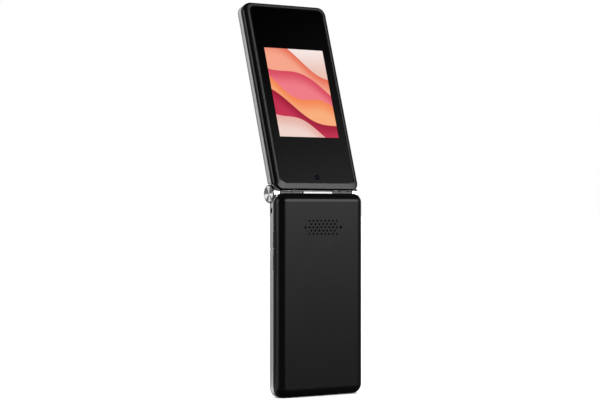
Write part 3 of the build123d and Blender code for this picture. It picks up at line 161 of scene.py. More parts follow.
class Graph:
    """A shader node tree."""

    def __init__(self, tree: bpy.types.NodeTree) -> None:
        """Take over a node tree and empty it."""
        self.tree = tree
        self.tree.nodes.clear()

    def put(self, target: bpy.types.NodeSocket, value: Any) -> None:
        """Link a wire to a socket, or set a plain value on it.

        Args:
            target: The input socket.
            value: A Wire, a number, or a tuple for colours and vectors.
        """
        if isinstance(value, Wire):
            self.tree.links.new(value.socket, target)
        elif target.type == "RGBA":
            target.default_value = (*value, 1.0)
        else:
            target.default_value = value

    def node(self, kind: str, settings: dict[str, Any], inputs: dict[Any, Any], output: Any = 0) -> Any:
        """Add a node.

        Args:
            kind: Blender's type name of the node.
            settings: Properties that are set before the sockets are.
            inputs: Values or wires by socket name or number.
            output: Name or number of the output to return, or None for a node without outputs.

        Returns:
            The chosen output.
        """
        made = self.tree.nodes.new(kind)
        for key, value in settings.items():
            setattr(made, key, value)
        for key, value in inputs.items():
            self.put(made.inputs[key], value)
        return Wire(self, made.outputs[output]) if output is not None else None

    def place(self) -> Wire:
        """Return the place on the piece, in metres, in the frame at rest."""
        return self.node("ShaderNodeTexCoord", {}, {}, "Object")

    def camera_ray(self) -> Wire:
        """Return 1 where the camera looks straight at the floor or the surroundings, else 0."""
        return self.node("ShaderNodeLightPath", {}, {}, "Is Camera Ray")

    def along(self, direction: Vector, origin: Vector, place: Wire) -> Wire:
        """Measure the distance along a direction.

        Args:
            direction: Unit vector to measure along.
            origin: Where the distance is nought.
            place: The place to measure, in metres.

        Returns:
            The distance in millimetres.
        """
        shifted = self.node("ShaderNodeVectorMath", {"operation": "SUBTRACT"}, {0: place, 1: origin})
        settings = {"operation": "DOT_PRODUCT"}
        return self.node("ShaderNodeVectorMath", settings, {0: shifted, 1: direction}, "Value") * (1 / MM)

    def hinge_polar(self, place: Wire) -> tuple[Wire, Wire, Wire]:
        """Measure a place from the hinge axis, in millimetres.

        Args:
            place: The place to measure, in metres.

        Returns:
            The distance from the axis, and its parts towards the back and the top.
        """
        deep = self.along(BACK, HINGE, place)
        high = self.along(UP, HINGE, place)
        return (deep * deep + high * high) ** 0.5, deep, high

    def noise(self, per_mm: float, detail: float = 3.0, stretch: Stretch = (1.0, 1.0, 1.0)) -> Wire:
        """Return even noise around 0.5.

        Args:
            per_mm: How many grains there are to a millimetre.
            detail: Octaves of finer grain.
            stretch: Factors by which each direction is packed closer.

        Returns:
            The noise's value.
        """
        scale = tuple(per_mm / MM * part for part in stretch)
        scaled = self.node("ShaderNodeVectorMath", {"operation": "MULTIPLY"}, {0: self.place(), 1: scale})
        return self.node("ShaderNodeTexNoise", {}, {"Vector": scaled, "Scale": 1.0, "Detail": detail})

    def mix(self, share: Number, first: Any, second: Any) -> Wire:
        """Blend two colours.

        Args:
            share: 0 gives the first colour and 1 the second.
            first: Colour or wire.
            second: Colour or wire.

        Returns:
            The blended colour.
        """
        return self.node("ShaderNodeMix", {"data_type": "RGBA"}, {0: share, 6: first, 7: second}, 2)

    def bump(self, height: Wire, depth_mm: float) -> Wire:
        """Return a normal that follows a height, which is a share of depth_mm."""
        inputs = {"Height": height, "Distance": depth_mm * MM, "Strength": 1.0}
        return self.node("ShaderNodeBump", {}, inputs, "Normal")


class Surface(Graph):
    """The node tree of one material, with one Principled surface."""

    def __init__(self, name: str) -> None:
        """Make an empty material.

        Args:
            name: Name of the material.
        """
        self.material = bpy.data.materials.new(name)
        self.material.use_nodes = True
        super().__init__(self.material.node_tree)

    def finish(self, **sockets: Any) -> bpy.types.Material:
        """Add the Principled surface with its sockets.

        Args:
            **sockets: Values or wires by socket name, with underscores for spaces.

        Returns:
            The finished material.
        """
        inputs = {name.replace("_", " "): value for name, value in sockets.items()}
        surface = self.node("ShaderNodeBsdfPrincipled", {}, inputs)
        self.node("ShaderNodeOutputMaterial", {}, {"Surface": surface}, None)
        return self.material


def shaded(colour: Colour, share: float) -> Colour:
    """Return a colour at a share of its light."""
    red, green, blue = colour
    return share * red, share * green, share * blue


# ---------------------------------------------------------------- finishes
@dataclass(frozen=True)
class MouldedPlastic:
    """Moulded plastic with a fine spark-eroded grain."""

    name: str
    colour: Colour
    lighter: Colour
    roughness: float = 0.42
    grain_per_mm: float = 6.0
    grain_depth_mm: float = 0.012
    grain_gloss: float = 0.16
    cloud_per_mm: float = 0.05
    cloud_range: Span = (0.35, 0.7)
    specular: float = 0.18

    def build(self) -> bpy.types.Material:
        """Mix the clouded colour, the grain and its gloss.

        Returns:
            The material.
        """
        graph = Surface(self.name)
        grain = graph.noise(self.grain_per_mm)
        cloud = graph.noise(self.cloud_per_mm, SOFT_DETAIL)
        return graph.finish(
            Base_Color=graph.mix(cloud.step(*self.cloud_range), self.colour, self.lighter),
            Roughness=self.roughness + (grain - 0.5) * self.grain_gloss,
            Normal=graph.bump(grain, self.grain_depth_mm),
            Specular_IOR_Level=self.specular,
        )


@dataclass(frozen=True)
class SatinMetal:
    """Metal drawn along one direction, with fine lines and a little wear."""

    name: str
    colour: Colour
    darker: Colour
    roughness: float = 0.3
    stretch: Stretch = (1.0, 1.0, 0.02)
    lines_per_mm: float = 14.0
    line_range: Span = (0.3, 0.75)
    line_gloss: float = 0.2
    line_depth_mm: float = 0.004
    cloud_per_mm: float = 0.08
    cloud_gloss: float = 0.06
    metallic: float = 1.0

    def drawn(self, graph: Surface) -> tuple[Wire, Wire]:
        """Return the noise of the drawn lines and the metal's colour."""
        lines = graph.noise(self.lines_per_mm, SOFT_DETAIL, self.stretch)
        return lines, graph.mix(lines.step(*self.line_range), self.darker, self.colour)

    def build(self) -> bpy.types.Material:
        """Draw the fine lines and cloud their gloss.

        Returns:
            The material.
        """
        graph = Surface(self.name)
        lines, colour = self.drawn(graph)
        cloud = graph.noise(self.cloud_per_mm, SOFT_DETAIL)
        return graph.finish(
            Base_Color=colour,
            Metallic=self.metallic,
            Roughness=self.roughness + (lines - 0.5) * self.line_gloss + (cloud - 0.5) * self.cloud_gloss,
            Normal=graph.bump(lines, self.line_depth_mm),
        )


@dataclass(frozen=True)
class BandMetal(SatinMetal):
    """The drawn silver of a side band, with a darker front edge and painted shade near the hinge. Sizes are
    millimetres.

    Inside the cord eye the metal is painted dark as shade. The eye is given by its outer wall, its reach
    inwards from there, and its lowest and highest point as heights from the hinge.
    """

    depth_axis: Vector = BACK
    front: float = 1.0
    edge_width: float = 1.05
    edge_blend: float = 0.05
    edge_shade: float = 0.62
    knuckle_radius: float = 5.3
    painted_knuckle_shade: Colour = (0.03, 0.03, 0.031)
    eye_wall: float = 26.12
    eye_reach: float = 3.0
    eye_span: Span = (-14.0, -5.6)
    eye: Colour = (0.01, 0.01, 0.01)

    def build(self) -> bpy.types.Material:
        """Draw the silver with its front edge, knuckle and cord eye.

        Returns:
            The material.
        """
        graph = Surface(self.name)
        place = graph.place()
        across = graph.along(ACROSS, HINGE, place)
        depth = graph.along(self.depth_axis, HINGE, place)
        radius, _, high = graph.hinge_polar(place)
        lines, silver = self.drawn(graph)
        edge = shaded(self.darker, self.edge_shade)
        border = self.front + self.edge_width
        colour = graph.mix(depth.step(border + self.edge_blend, border - self.edge_blend), silver, edge)
        # Painted shade: near the hinge axis the band is darkened for the shade in the gap between the
        # halves.
        colour = graph.mix(radius < self.knuckle_radius, colour, self.painted_knuckle_shade)
        bottom, top = self.eye_span
        # Painted shade: the metal inside the cord eye takes a near-black colour, for the shade in the hole.
        in_eye = (across > self.eye_wall - self.eye_reach) * (across < self.eye_wall)
        in_eye = in_eye * (high > bottom) * (high < top)
        return graph.finish(
            Base_Color=graph.mix(in_eye, colour, self.eye),
            Metallic=self.metallic,
            Roughness=self.roughness + (lines - 0.5) * self.line_gloss,
            Normal=graph.bump(lines, self.line_depth_mm),
        )


@dataclass(frozen=True)
class GlossWithPaintedBorderHighlight:
    """Gloss black moulding with a painted grey highlight on the sloping border round the glass. Sizes are
    millimetres.

    The border lies between two depths behind the hinge axis. Beside the hinge it is wider, and at the
    lid's far end it is fainter.
    """

    name: str = "gloss_black_shell"
    black: Colour = (0.0025, 0.0025, 0.0028)
    grey: Colour = (0.034, 0.034, 0.036)
    grey_dim: float = 0.85
    border: Span = (7.20, 7.47)
    near_depth: float = 7.17
    near_end: float = 3.3
    far_start: float = 97.5
    far_share: float = 0.8
    blend: float = 0.03
    roughness: float = 0.14
    border_gloss: float = 0.16
    grain_per_mm: float = 7.0
    grain_range: Span = (0.3, 0.7)
    grain_gloss: float = 0.05
    grain_depth_mm: float = 0.003
    specular: float = 0.19

    def edge(self, depth: Wire, level: float) -> Wire:
        """Return 1 behind a depth and 0 in front of it, with a soft edge."""
        return depth.step(level - self.blend, level + self.blend)

    def build(self) -> bpy.types.Material:
        """Paint the grey highlight on the border of the gloss.

        Returns:
            The material.
        """
        graph = Surface(self.name)
        place = graph.place()
        depth = graph.along(LID_BACK, HINGE, place)
        up = graph.along(LID_UP, HINGE, place)
        start, end = self.border
        sides = self.edge(depth, start) * (1 - self.edge(depth, end))
        near = self.edge(depth, self.near_depth) * (up < self.near_end)
        border = sides.either(near) * (1 - (up > self.far_start) * (1 - self.far_share))
        grain = graph.noise(self.grain_per_mm)
        grey = graph.mix(grain.step(*self.grain_range), shaded(self.grey, self.grey_dim), self.grey)
        return graph.finish(
            # Painted highlight: the grey on the sloping border stands in for the light that the bevel
            # reflects.
            Base_Color=graph.mix(border, self.black, grey),
            Roughness=self.roughness + border * self.border_gloss + (grain - 0.5) * self.grain_gloss,
            Normal=graph.bump(grain, self.grain_depth_mm),
            Specular_IOR_Level=self.specular,
        )


@dataclass(frozen=True)
class SleeveMetal:
    """Drawn sleeve with a black ring and a darker stretch beyond it at one end. Sizes are millimetres.

    A painted highlight runs along the middle of its height, with painted shade above and below.
    """

    name: str = "bright_sleeve"
    bright: Colour = (0.80, 0.80, 0.81)
    dim: Colour = (0.10, 0.10, 0.103)
    collar: Colour = (0.04, 0.04, 0.041)
    ring: Colour = (0.004, 0.004, 0.004)
    ring_start: float = 7.9
    ring_end: float = 9.0
    middle: float = -0.1
    half_height: float = 0.55
    blend: float = 0.3
    lines_per_mm: float = 14.0
    stretch: Stretch = (0.02, 1.0, 1.0)
    line_range: Span = (-0.4, 0.6)
    line_gloss: float = 0.1
    line_depth_mm: float = 0.003
    roughness: float = 0.14

    def build(self) -> bpy.types.Material:
        """Paint the sleeve's highlight and shade, and draw its ring and the darker end.

        Returns:
            The material.
        """
        graph = Surface(self.name)
        place = graph.place()
        across = graph.along(ACROSS, HINGE, place)
        off_middle = abs(graph.along(UP, HINGE, place) - self.middle)
        lines = graph.noise(self.lines_per_mm, SOFT_DETAIL, self.stretch)
        # Painted highlight and shade: bright along the middle of the height, dim above and below.
        painted_highlight_band = off_middle.step(self.half_height + self.blend, self.half_height - self.blend)
        colour = graph.mix(painted_highlight_band * lines.step(*self.line_range), self.dim, self.bright)
        colour = graph.mix(across > self.ring_start, colour, self.ring)
        colour = graph.mix(across > self.ring_end, colour, self.collar)
        return graph.finish(
            Base_Color=colour,
            Metallic=1.0,
            Roughness=self.roughness + (lines - 0.5) * self.line_gloss,
            Normal=graph.bump(lines, self.line_depth_mm),
        )


@dataclass(frozen=True)
class Wedge:
    """A wedge of painted highlight on a spun disc, in degrees from the back towards the top."""

    angle: float
    half_width: float


@dataclass(frozen=True)
class SpunMetal:
    """Bright metal turned on a lathe: rings on its face and painted wedges of highlight across them.

    Sizes are millimetres. The rings are a sine of the radius, and their phase is in radians.
    """

    name: str = "turned_bright_metal"
    bright: Colour = (0.95, 0.95, 0.96)
    shade: Colour = (0.25, 0.25, 0.254)
    rim: Colour = (0.36, 0.36, 0.365)
    rim_radius: float = 3.95
    least_radius: float = 0.01
    face_start: float = 26.0
    wedges: tuple[Wedge, ...] = (
        Wedge(93.0, 22.0),
        Wedge(-12.0, 17.0),
        Wedge(-74.0, 10.0),
        Wedge(-152.0, 20.0),
    )
    wedge_blend: float = 11.0
    painted_highlight_diffuse: float = 0.7
    ring_phase_per_mm: float = 60.0
    fine_per_mm: float = 9.0
    fine_stretch: Stretch = (1.0, 0.2, 0.2)
    fine_gloss: float = 0.1
    fine_share: float = 0.3
    face_gloss: float = 0.06
    depth_mm: float = 0.004
    roughness: float = 0.16

    def light(self, radius: Wire, deep: Wire, high: Wire) -> Wire:
        """Return the share of painted highlight from all the wedges.

        Args:
            radius: Millimetres from the hinge axis.
            deep: Its part towards the back.
            high: Its part towards the top.

        Returns:
            A mask that is 1 in the middle of a wedge and 0 between them.
        """
        lit: Any = 0.0
        for wedge in self.wedges:
            turn = math.radians(wedge.angle)
            facing = (deep * math.cos(turn) + high * math.sin(turn)) / radius.either(self.least_radius)
            outer = math.cos(math.radians(wedge.half_width + self.wedge_blend))
            inner = math.cos(math.radians(wedge.half_width - self.wedge_blend))
            lit = lit + facing.step(outer, inner)
        return lit.both(1.0)

    def build(self) -> bpy.types.Material:
        """Paint the wedges of highlight, and draw the rings and the rim.

        Returns:
            The material.
        """
        graph = Surface(self.name)
        place = graph.place()
        outside = abs(graph.along(ACROSS, HINGE, place)) > self.face_start
        radius, deep, high = graph.hinge_polar(place)
        lit = self.light(radius, deep, high)
        on_face = outside * (radius < self.rim_radius)
        side = graph.mix(outside * (radius > self.rim_radius), self.bright, self.rim)
        # Painted highlight and shade: the face is bright in the wedges and dark between them.
        face = graph.mix(lit, self.shade, self.bright)
        rings = (radius * self.ring_phase_per_mm).sine() * 0.5 + 0.5
        fine = graph.noise(self.fine_per_mm, SOFT_DETAIL, self.fine_stretch)
        return graph.finish(
            Base_Color=graph.mix(on_face, side, face),
            # In the wedges the metal turns partly diffuse, so the painted highlight stays bright under any
            # light.
            Metallic=1 - on_face * lit * self.painted_highlight_diffuse,
            Roughness=self.roughness + fine * self.fine_gloss + on_face * self.face_gloss,
            Normal=graph.bump(rings * on_face + fine * self.fine_share, self.depth_mm),
        )


@dataclass(frozen=True)
class Wave:
    """One layer of the picture, with the colours at its edge and in its body.

    Its crest is a sine. The level and the swing are shares of the picture's height, the turns are radians
    over its width, and the start is the phase in its middle.
    """

    level: float
    swing: float
    turns: float
    start: float
    edge: Colour
    body: Colour


@dataclass(frozen=True)
class Waves:
    """A lit picture of soft layered waves. Sizes are millimetres in the lid's plane, up from the hinge."""

    width: float
    height: float
    bottom: float
    tilt: float = 0.35
    sky: Colour = (0.82, 0.55, 0.47)
    sky_fade: Span = (0.7, 1.05)
    sky_paler: float = 0.6
    shade_depth: float = 0.17
    crest_blend: float = 0.004
    layers: tuple[Wave, ...] = (
        Wave(0.90, 0.075, 5.2, 0.4, (0.80, 0.17, 0.10), (0.92, 0.38, 0.26)),
        Wave(0.66, 0.080, 4.4, 2.1, (0.68, 0.07, 0.12), (0.86, 0.20, 0.24)),
        Wave(0.47, 0.070, 5.8, 3.9, (0.90, 0.24, 0.09), (0.95, 0.42, 0.20)),
        Wave(0.29, 0.065, 4.9, 5.3, (0.36, 0.01, 0.04), (0.55, 0.03, 0.08)),
        Wave(0.12, 0.050, 6.3, 1.2, (0.80, 0.44, 0.38), (0.86, 0.66, 0.60)),
    )

    def paint(self, graph: Graph, across: Wire, up: Wire) -> tuple[Wire, Wire]:
        """Draw the picture.

        Args:
            graph: The material's graph.
            across: Millimetres from the lid's middle.
            up: Millimetres from the hinge axis.

        Returns:
            The colour, and a mask that is 1 inside the picture.
        """
        x = across / self.width
        y = (up - self.bottom) / self.height
        pale = tuple(self.sky_paler + (1 - self.sky_paler) * part for part in self.sky)
        colour = graph.mix(y.step(*self.sky_fade), self.sky, pale)
        for wave in self.layers:
            crest = (x * wave.turns + wave.start).sine() * wave.swing + x * self.tilt + wave.level
            under = crest - y
            layer = graph.mix(under.step(0.0, self.shade_depth), wave.edge, wave.body)
            colour = graph.mix(under.step(-self.crest_blend, self.crest_blend), colour, layer)
        inside = (abs(x) < 0.5) * (y > 0.0) * (y < 1.0)
        return colour, inside


@dataclass(frozen=True)
class LensMark:
    """The round mark of the camera behind the glass, with a faint painted glint. Sizes are millimetres."""

    up: float
    radius: float = 1.5
    blend: float = 0.35
    black: Colour = (0.001, 0.001, 0.002)
    dash_across: Span = (0.85, 0.6)
    dash_up: Span = (0.28, 0.12)
    painted_glint: Colour = (0.012, 0.012, 0.035)

    def paint(self, graph: Graph, across: Wire, up: Wire, glass: Colour) -> tuple[Wire, Wire]:
        """Draw the mark on the glass.

        Args:
            graph: The material's graph.
            across: Millimetres from the lid's middle.
            up: Millimetres from the hinge axis.
            glass: Colour of the glass round the mark.

        Returns:
            The colour, and a mask that is 1 where the mark mirrors nothing.
        """
        rise = up - self.up
        ring = ((across * across + rise * rise) ** 0.5).step(self.radius, self.radius - self.blend)
        # Painted glint: a small patch of lighter bluish colour in the middle of the lens mark.
        painted_glint = abs(across).step(*self.dash_across) * abs(rise).step(*self.dash_up)
        colour = graph.mix(painted_glint, graph.mix(ring, glass, self.black), self.painted_glint)
        return colour, ring * (1 - painted_glint)


@dataclass(frozen=True)
class PictureGlass:
    """Black glass with a lit picture under it, and a camera's mark where there is one."""

    name: str
    picture: Waves
    mark: Optional[LensMark] = None
    black: Colour = (0.0004, 0.0004, 0.0005)
    glow: float = 1.0
    specular: float = 0.22
    roughness: float = 0.05
    smear_per_mm: float = 0.12
    smear_detail: float = 4.0
    smear_range: Span = (0.5, 0.8)
    smear_gloss: float = 0.03

    def build(self) -> bpy.types.Material:
        """Lay the picture and the mark under the glass.

        Returns:
            The material.
        """
        graph = Surface(self.name)
        place = graph.place()
        across = graph.along(ACROSS, HINGE, place)
        up = graph.along(LID_UP, HINGE, place)
        picture, inside = self.picture.paint(graph, across, up)
        smear = graph.noise(self.smear_per_mm, self.smear_detail)
        glass: Any = self.black
        dull: Any = 0.0
        if self.mark is not None:
            glass, dull = self.mark.paint(graph, across, up, self.black)
        return graph.finish(
            Base_Color=graph.mix(inside, glass, UNLIT),
            Metallic=dull,
            Emission_Color=graph.mix(inside, UNLIT, picture),
            Emission_Strength=self.glow,
            Specular_IOR_Level=self.specular,
            Roughness=self.roughness + smear.step(*self.smear_range) * self.smear_gloss,
        )


@dataclass(frozen=True)
class CircuitBoard:
    """Green board with faint copper tracks under the lacquer."""

    name: str = "circuit_board"
    lacquer: Colour = (0.012, 0.11, 0.05)
    lighter: Colour = (0.016, 0.14, 0.06)
    track: Colour = (0.03, 0.2, 0.09)
    pitch_mm: float = 1.6
    fewer_level: float = 0.6
    track_range: Span = (0.55, 0.8)
    track_gloss: float = 0.1
    track_depth_mm: float = 0.02
    cloud_per_mm: float = 0.06
    cloud_detail: float = 1.0
    cloud_range: Span = (0.3, 0.7)
    roughness: float = 0.35

    def build(self) -> bpy.types.Material:
        """Draw the tracks under the lacquer.

        Returns:
            The material.
        """
        graph = Surface(self.name)
        place = graph.place()
        turns = 2 * math.pi / self.pitch_mm
        rows, columns = ((graph.along(axis, ORIGIN, place) * turns).sine() for axis in (ACROSS, UP))
        tracks = rows.either(columns - self.fewer_level).step(*self.track_range)
        cloud = graph.noise(self.cloud_per_mm, self.cloud_detail).step(*self.cloud_range)
        lacquer = graph.mix(cloud, self.lacquer, self.lighter)
        return graph.finish(
            Base_Color=graph.mix(tracks, lacquer, self.track),
            Roughness=self.roughness + tracks * self.track_gloss,
            Normal=graph.bump(tracks, self.track_depth_mm),
        )


Finish = Union[MouldedPlastic, SatinMetal, GlossWithPaintedBorderHighlight, SleeveMetal, SpunMetal, PictureGlass, CircuitBoard]


class Tone(Enum):
    """Named colours that several finishes share."""

    COVER = (0.0016, 0.0016, 0.0017)
    COVER_LIGHT = (0.0022, 0.0022, 0.0023)
    CASE = (0.005, 0.005, 0.0052)
    CASE_LIGHT = (0.007, 0.007, 0.0073)
    SHELL = (0.003, 0.003, 0.0033)
    SILVER = (0.80, 0.805, 0.81)
    SILVER_DARK = (0.66, 0.665, 0.67)
    KEY = (0.30, 0.31, 0.32)
    KEY_LIGHT = (0.36, 0.37, 0.38)
    RING = (0.45, 0.46, 0.47)
    RING_LIGHT = (0.52, 0.53, 0.54)
    WHITE_INK = (0.85, 0.85, 0.84)
    WHITE_INK_DARK = (0.8, 0.8, 0.8)
    GREEN_INK = (0.03, 0.42, 0.12)
    GREEN_INK_DARK = (0.02, 0.36, 0.1)
    RED_INK = (0.55, 0.03, 0.03)
    RED_INK_DARK = (0.48, 0.02, 0.02)


# ---------------------------------------------------------------- helpers for pieces
def dress(finish: Finish, *nodes: str) -> None:
    """Build a finish and give it to CAD nodes, in all their slots.

    Args:
        finish: The finish.
        *nodes: Names of the nodes.
    """
    material = finish.build()
    for node in nodes:
        slots = FRAME["nodes"][node].data.materials
        if not slots:
            slots.append(material)
        for index in range(len(slots)):
            slots[index] = material
        LOG.info("dressed %s with %s", node, material.name)


def new_piece(name: str, mesh: bpy.types.Mesh, body: str, material: bpy.types.Material) -> None:
    """Add a piece that rides on a body.

    Args:
        name: Name of the piece.
        mesh: Its mesh, in metres, in the frame at rest.
        body: The body that it rides on.
        material: Its material.
    """
    made = bpy.data.objects.new(name, mesh)
    bpy.context.scene.collection.objects.link(made)
    made.data.materials.clear()
    made.data.materials.append(material)
    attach(made, body)
    LOG.info("made %s on %s", name, body)


# ---------------------------------------------------------------- sub-assemblies
@dataclass
class Casing:
    """The silver bands and the black covers of both halves."""

    base_silver: BandMetal = BandMetal("silver_base_band", Tone.SILVER.value, Tone.SILVER_DARK.value)
    lid_silver: BandMetal = BandMetal(
        "silver_lid_band", Tone.SILVER.value, Tone.SILVER_DARK.value, depth_axis=LID_BACK, front=0.6)
    cover: MouldedPlastic = MouldedPlastic(
        "black_cover", Tone.COVER.value, Tone.COVER_LIGHT.value, roughness=0.24, grain_depth_mm=0.006)
    fascia: MouldedPlastic = MouldedPlastic(
        "black_fascia", Tone.CASE.value, Tone.CASE_LIGHT.value, roughness=0.35)
    shell: GlossWithPaintedBorderHighlight = GlossWithPaintedBorderHighlight()
    side_key: MouldedPlastic = MouldedPlastic(
        "black_side_key", Tone.SHELL.value, Tone.CASE.value, roughness=0.3)

    def build(self) -> None:
        """Dress the casing's nodes."""
        dress(self.base_silver, "base_frame")
        dress(self.lid_silver, "lid_frame")
        dress(self.cover, "rear_cover")
        dress(self.shell, "lid_shell")
        dress(self.fascia, "base_fascia", "lid_fascia")
        dress(self.side_key, "side_key_upper", "side_key_lower")


@dataclass
class Hinge:
    """The bright caps, the sleeve on the barrel and the parts inside it."""

    bright: SpunMetal = SpunMetal()
    sleeve: SleeveMetal = SleeveMetal()
    steel: SatinMetal = SatinMetal("plain_steel", (0.6, 0.6, 0.61), (0.42, 0.42, 0.43))

    def build(self) -> None:
        """Dress the hinge's nodes."""
        dress(self.bright, "hinge_cap_left", "hinge_cap_right")
        dress(self.sleeve, "barrel_cover")
        dress(self.steel, "pivot_pin", "hinge_shaft", "hinge_can", "hinge_cam", "hinge_spring")


@dataclass
class Displays:
    """The lid's two glasses with their lit pictures."""

    outer: PictureGlass = PictureGlass(
        "lid_glass_with_picture", Waves(width=36.72, height=48.96, bottom=28.5), LensMark(up=6.6))
    inner: PictureGlass = PictureGlass(
        "inner_glass_with_picture", Waves(width=43.2, height=57.6, bottom=30.0, tilt=-0.3))
    module: MouldedPlastic = MouldedPlastic("display_module", (0.03, 0.03, 0.035), (0.05, 0.05, 0.055))

    def build(self) -> None:
        """Dress the glasses and what lies behind them."""
        dress(self.outer, "lid_glass")
        dress(self.inner, "inner_lens")
        dress(self.module, "outer_display", "inner_display", "camera_module", "earpiece")


def number_signs() -> dict[str, str]:
    """Return the sign on each number key, by the key's node."""
    return {f"key_{number}": str(number) for number in range(10)} | {"key_star": "*", "key_hash": "#"}


@dataclass
class Keypad:
    """The keys of the base with their printed signs.

    The sizes of the letters and the star are multiples of the print's height. The handset is an outline in
    millimetres, across and up from the middle of its key.
    """

    signs: dict[str, str] = field(default_factory=number_signs)
    soft_keys: tuple[str, ...] = ("soft_key_left", "soft_key_right")
    call_keys: tuple[str, ...] = ("call_key", "end_key")
    soft_sign: str = "-"
    print_height: float = 5.2 * MM
    print_lift: float = 0.02 * MM
    letter_size: float = 1.25
    star_size: float = 1.6
    handset: tuple[tuple[float, float], ...] = (
        (-2.6, -0.9),
        (-2.6, 0.2),
        (-1.7, 0.9),
        (1.7, 0.9),
        (2.6, 0.2),
        (2.6, -0.9),
        (1.4, -0.9),
        (1.4, -0.1),
        (-1.4, -0.1),
        (-1.4, -0.9),
    )
    plastic: MouldedPlastic = MouldedPlastic(
        "grey_key", Tone.KEY.value, Tone.KEY_LIGHT.value, roughness=0.35, grain_depth_mm=0.006)
    ring: MouldedPlastic = MouldedPlastic(
        "silver_ring", Tone.RING.value, Tone.RING_LIGHT.value, roughness=0.28, grain_depth_mm=0.004)
    ink: MouldedPlastic = MouldedPlastic(
        "white_ink", Tone.WHITE_INK.value, Tone.WHITE_INK_DARK.value, roughness=0.5)
    green_ink: MouldedPlastic = MouldedPlastic(
        "green_ink", Tone.GREEN_INK.value, Tone.GREEN_INK_DARK.value, roughness=0.5)
    red_ink: MouldedPlastic = MouldedPlastic(
        "red_ink", Tone.RED_INK.value, Tone.RED_INK_DARK.value, roughness=0.5)

    def letters(self, name: str, text: str) -> bpy.types.Mesh:
        """Make the mesh of a line of text, lying flat round the origin.

        Args:
            name: Name of the mesh's curve.
            text: The text.

        Returns:
            The mesh.
        """
        curve = bpy.data.curves.new(name, "FONT")
        curve.body = text
        curve.size = self.print_height * (self.star_size if text == "*" else self.letter_size)
        curve.align_x = "CENTER"
        curve.align_y = "CENTER"
        curve.extrude = self.print_lift / 2
        holder = bpy.data.objects.new(name, curve)
        bpy.context.scene.collection.objects.link(holder)
        bpy.context.view_layer.update()
        mesh = bpy.data.meshes.new_from_object(holder.evaluated_get(bpy.context.evaluated_depsgraph_get()))
        bpy.data.objects.remove(holder)
        bpy.data.curves.remove(curve)
        return mesh

    def sign(self, key: str, text: str, ink: bpy.types.Material) -> None:
        """Print a sign on a key.

        Args:
            key: Name of the key's node and body.
            text: The sign.
            ink: Its material.
        """
        low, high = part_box(key)
        mesh = self.letters(f"{key}_sign", text)
        mesh.transform(Matrix.Rotation(math.pi / 2, 4, "X"))
        heights = [vertex.co.z for vertex in mesh.vertices]
        middle = (min(heights) + max(heights)) / 2
        mesh.transform(Matrix.Translation(((low.x + high.x) / 2, low.y, (low.z + high.z) / 2 - middle)))
        new_piece(f"{key}_print", mesh, key, ink)

    def bar(self, key: str, ink: bpy.types.Material) -> None:
        """Print a handset sign on a call key: a bar with turned-down ends.

        Args:
            key: Name of the key's node and body.
            ink: Its material.
        """
        low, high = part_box(key)
        middle = (low + high) / 2
        shape = bmesh.new()
        corners = [(middle.x + x * MM, low.y, middle.z + z * MM) for x, z in self.handset]
        face = shape.faces.new([shape.verts.new(corner) for corner in corners])
        pushed = bmesh.ops.extrude_face_region(shape, geom=[face])
        moved = [item for item in pushed["geom"] if isinstance(item, bmesh.types.BMVert)]
        bmesh.ops.translate(shape, vec=(0, -self.print_lift, 0), verts=moved)
        bmesh.ops.recalc_face_normals(shape, faces=shape.faces)
        mesh = bpy.data.meshes.new(f"{key}_print")
        shape.to_mesh(mesh)
        shape.free()
        new_piece(f"{key}_print", mesh, key, ink)

    def build(self) -> None:
        """Dress the keys and print their signs."""
        dress(self.plastic, *self.signs, *self.soft_keys, *self.call_keys)
        dress(self.ring, "nav_ring", "ok_key")
        ink = self.ink.build()
        for key, text in self.signs.items():
            self.sign(key, text, ink)
        for key in self.soft_keys:
            self.sign(key, self.soft_sign, ink)
        for key, finish in zip(self.call_keys, (self.green_ink, self.red_ink)):
            self.bar(key, finish.build())


@dataclass(frozen=True)
class Batch:
    """Nodes that share a finish."""

    finish: Finish
    nodes: tuple[str, ...]


@dataclass
class Internals:
    """The finishes of what the halves hold."""

    batches: tuple[Batch, ...] = (
        Batch(CircuitBoard(), ("main_board", "lid_board")),
        Batch(
            SatinMetal("tinned_steel", (0.62, 0.62, 0.6), (0.45, 0.45, 0.44), stretch=(1.0, 1.0, 0.1)),
            ("board_shields", "usb_socket", "vibration_motor", "base_screws", "lid_screws", "dome_sheet"),
        ),
        Batch(MouldedPlastic("battery_wrap", (0.30, 0.31, 0.33), (0.36, 0.37, 0.39)), ("battery",)),
        Batch(
            SatinMetal("gilt_contacts", (0.75, 0.55, 0.2), (0.6, 0.42, 0.14), roughness=0.25),
            ("battery_contacts", "sim_holder"),
        ),
        Batch(
            MouldedPlastic("dark_grey_plastic", (0.03, 0.03, 0.032), (0.045, 0.045, 0.047), roughness=0.6),
            ("base_chassis", "loudspeaker", "microphone", "side_switches"),
        ),
        Batch(
            MouldedPlastic(
                "woven_mesh", (0.004, 0.004, 0.004), (0.008, 0.008, 0.008), roughness=0.9, grain_per_mm=9.0),
            ("speaker_mesh",),
        ),
        Batch(
            MouldedPlastic("soft_rubber", (0.03, 0.03, 0.03), (0.04, 0.04, 0.04), roughness=0.8),
            ("key_membrane", "lid_bumpers"),
        ),
        Batch(
            SatinMetal("flat_cable", (0.5, 0.24, 0.05), (0.38, 0.17, 0.03), roughness=0.4, metallic=0.2),
            ("antenna", "display_flex"),
        ),
    )

    def build(self) -> None:
        """Dress the inner nodes."""
        for batch in self.batches:
            dress(batch.finish, *batch.nodes)


# ---------------------------------------------------------------- studio
def level_length(east: Wire, north: Wire) -> Wire:
    """Return the level length of a direction, kept above nought."""
    return (east * east + north * north).either(NEAR_NOUGHT) ** 0.5


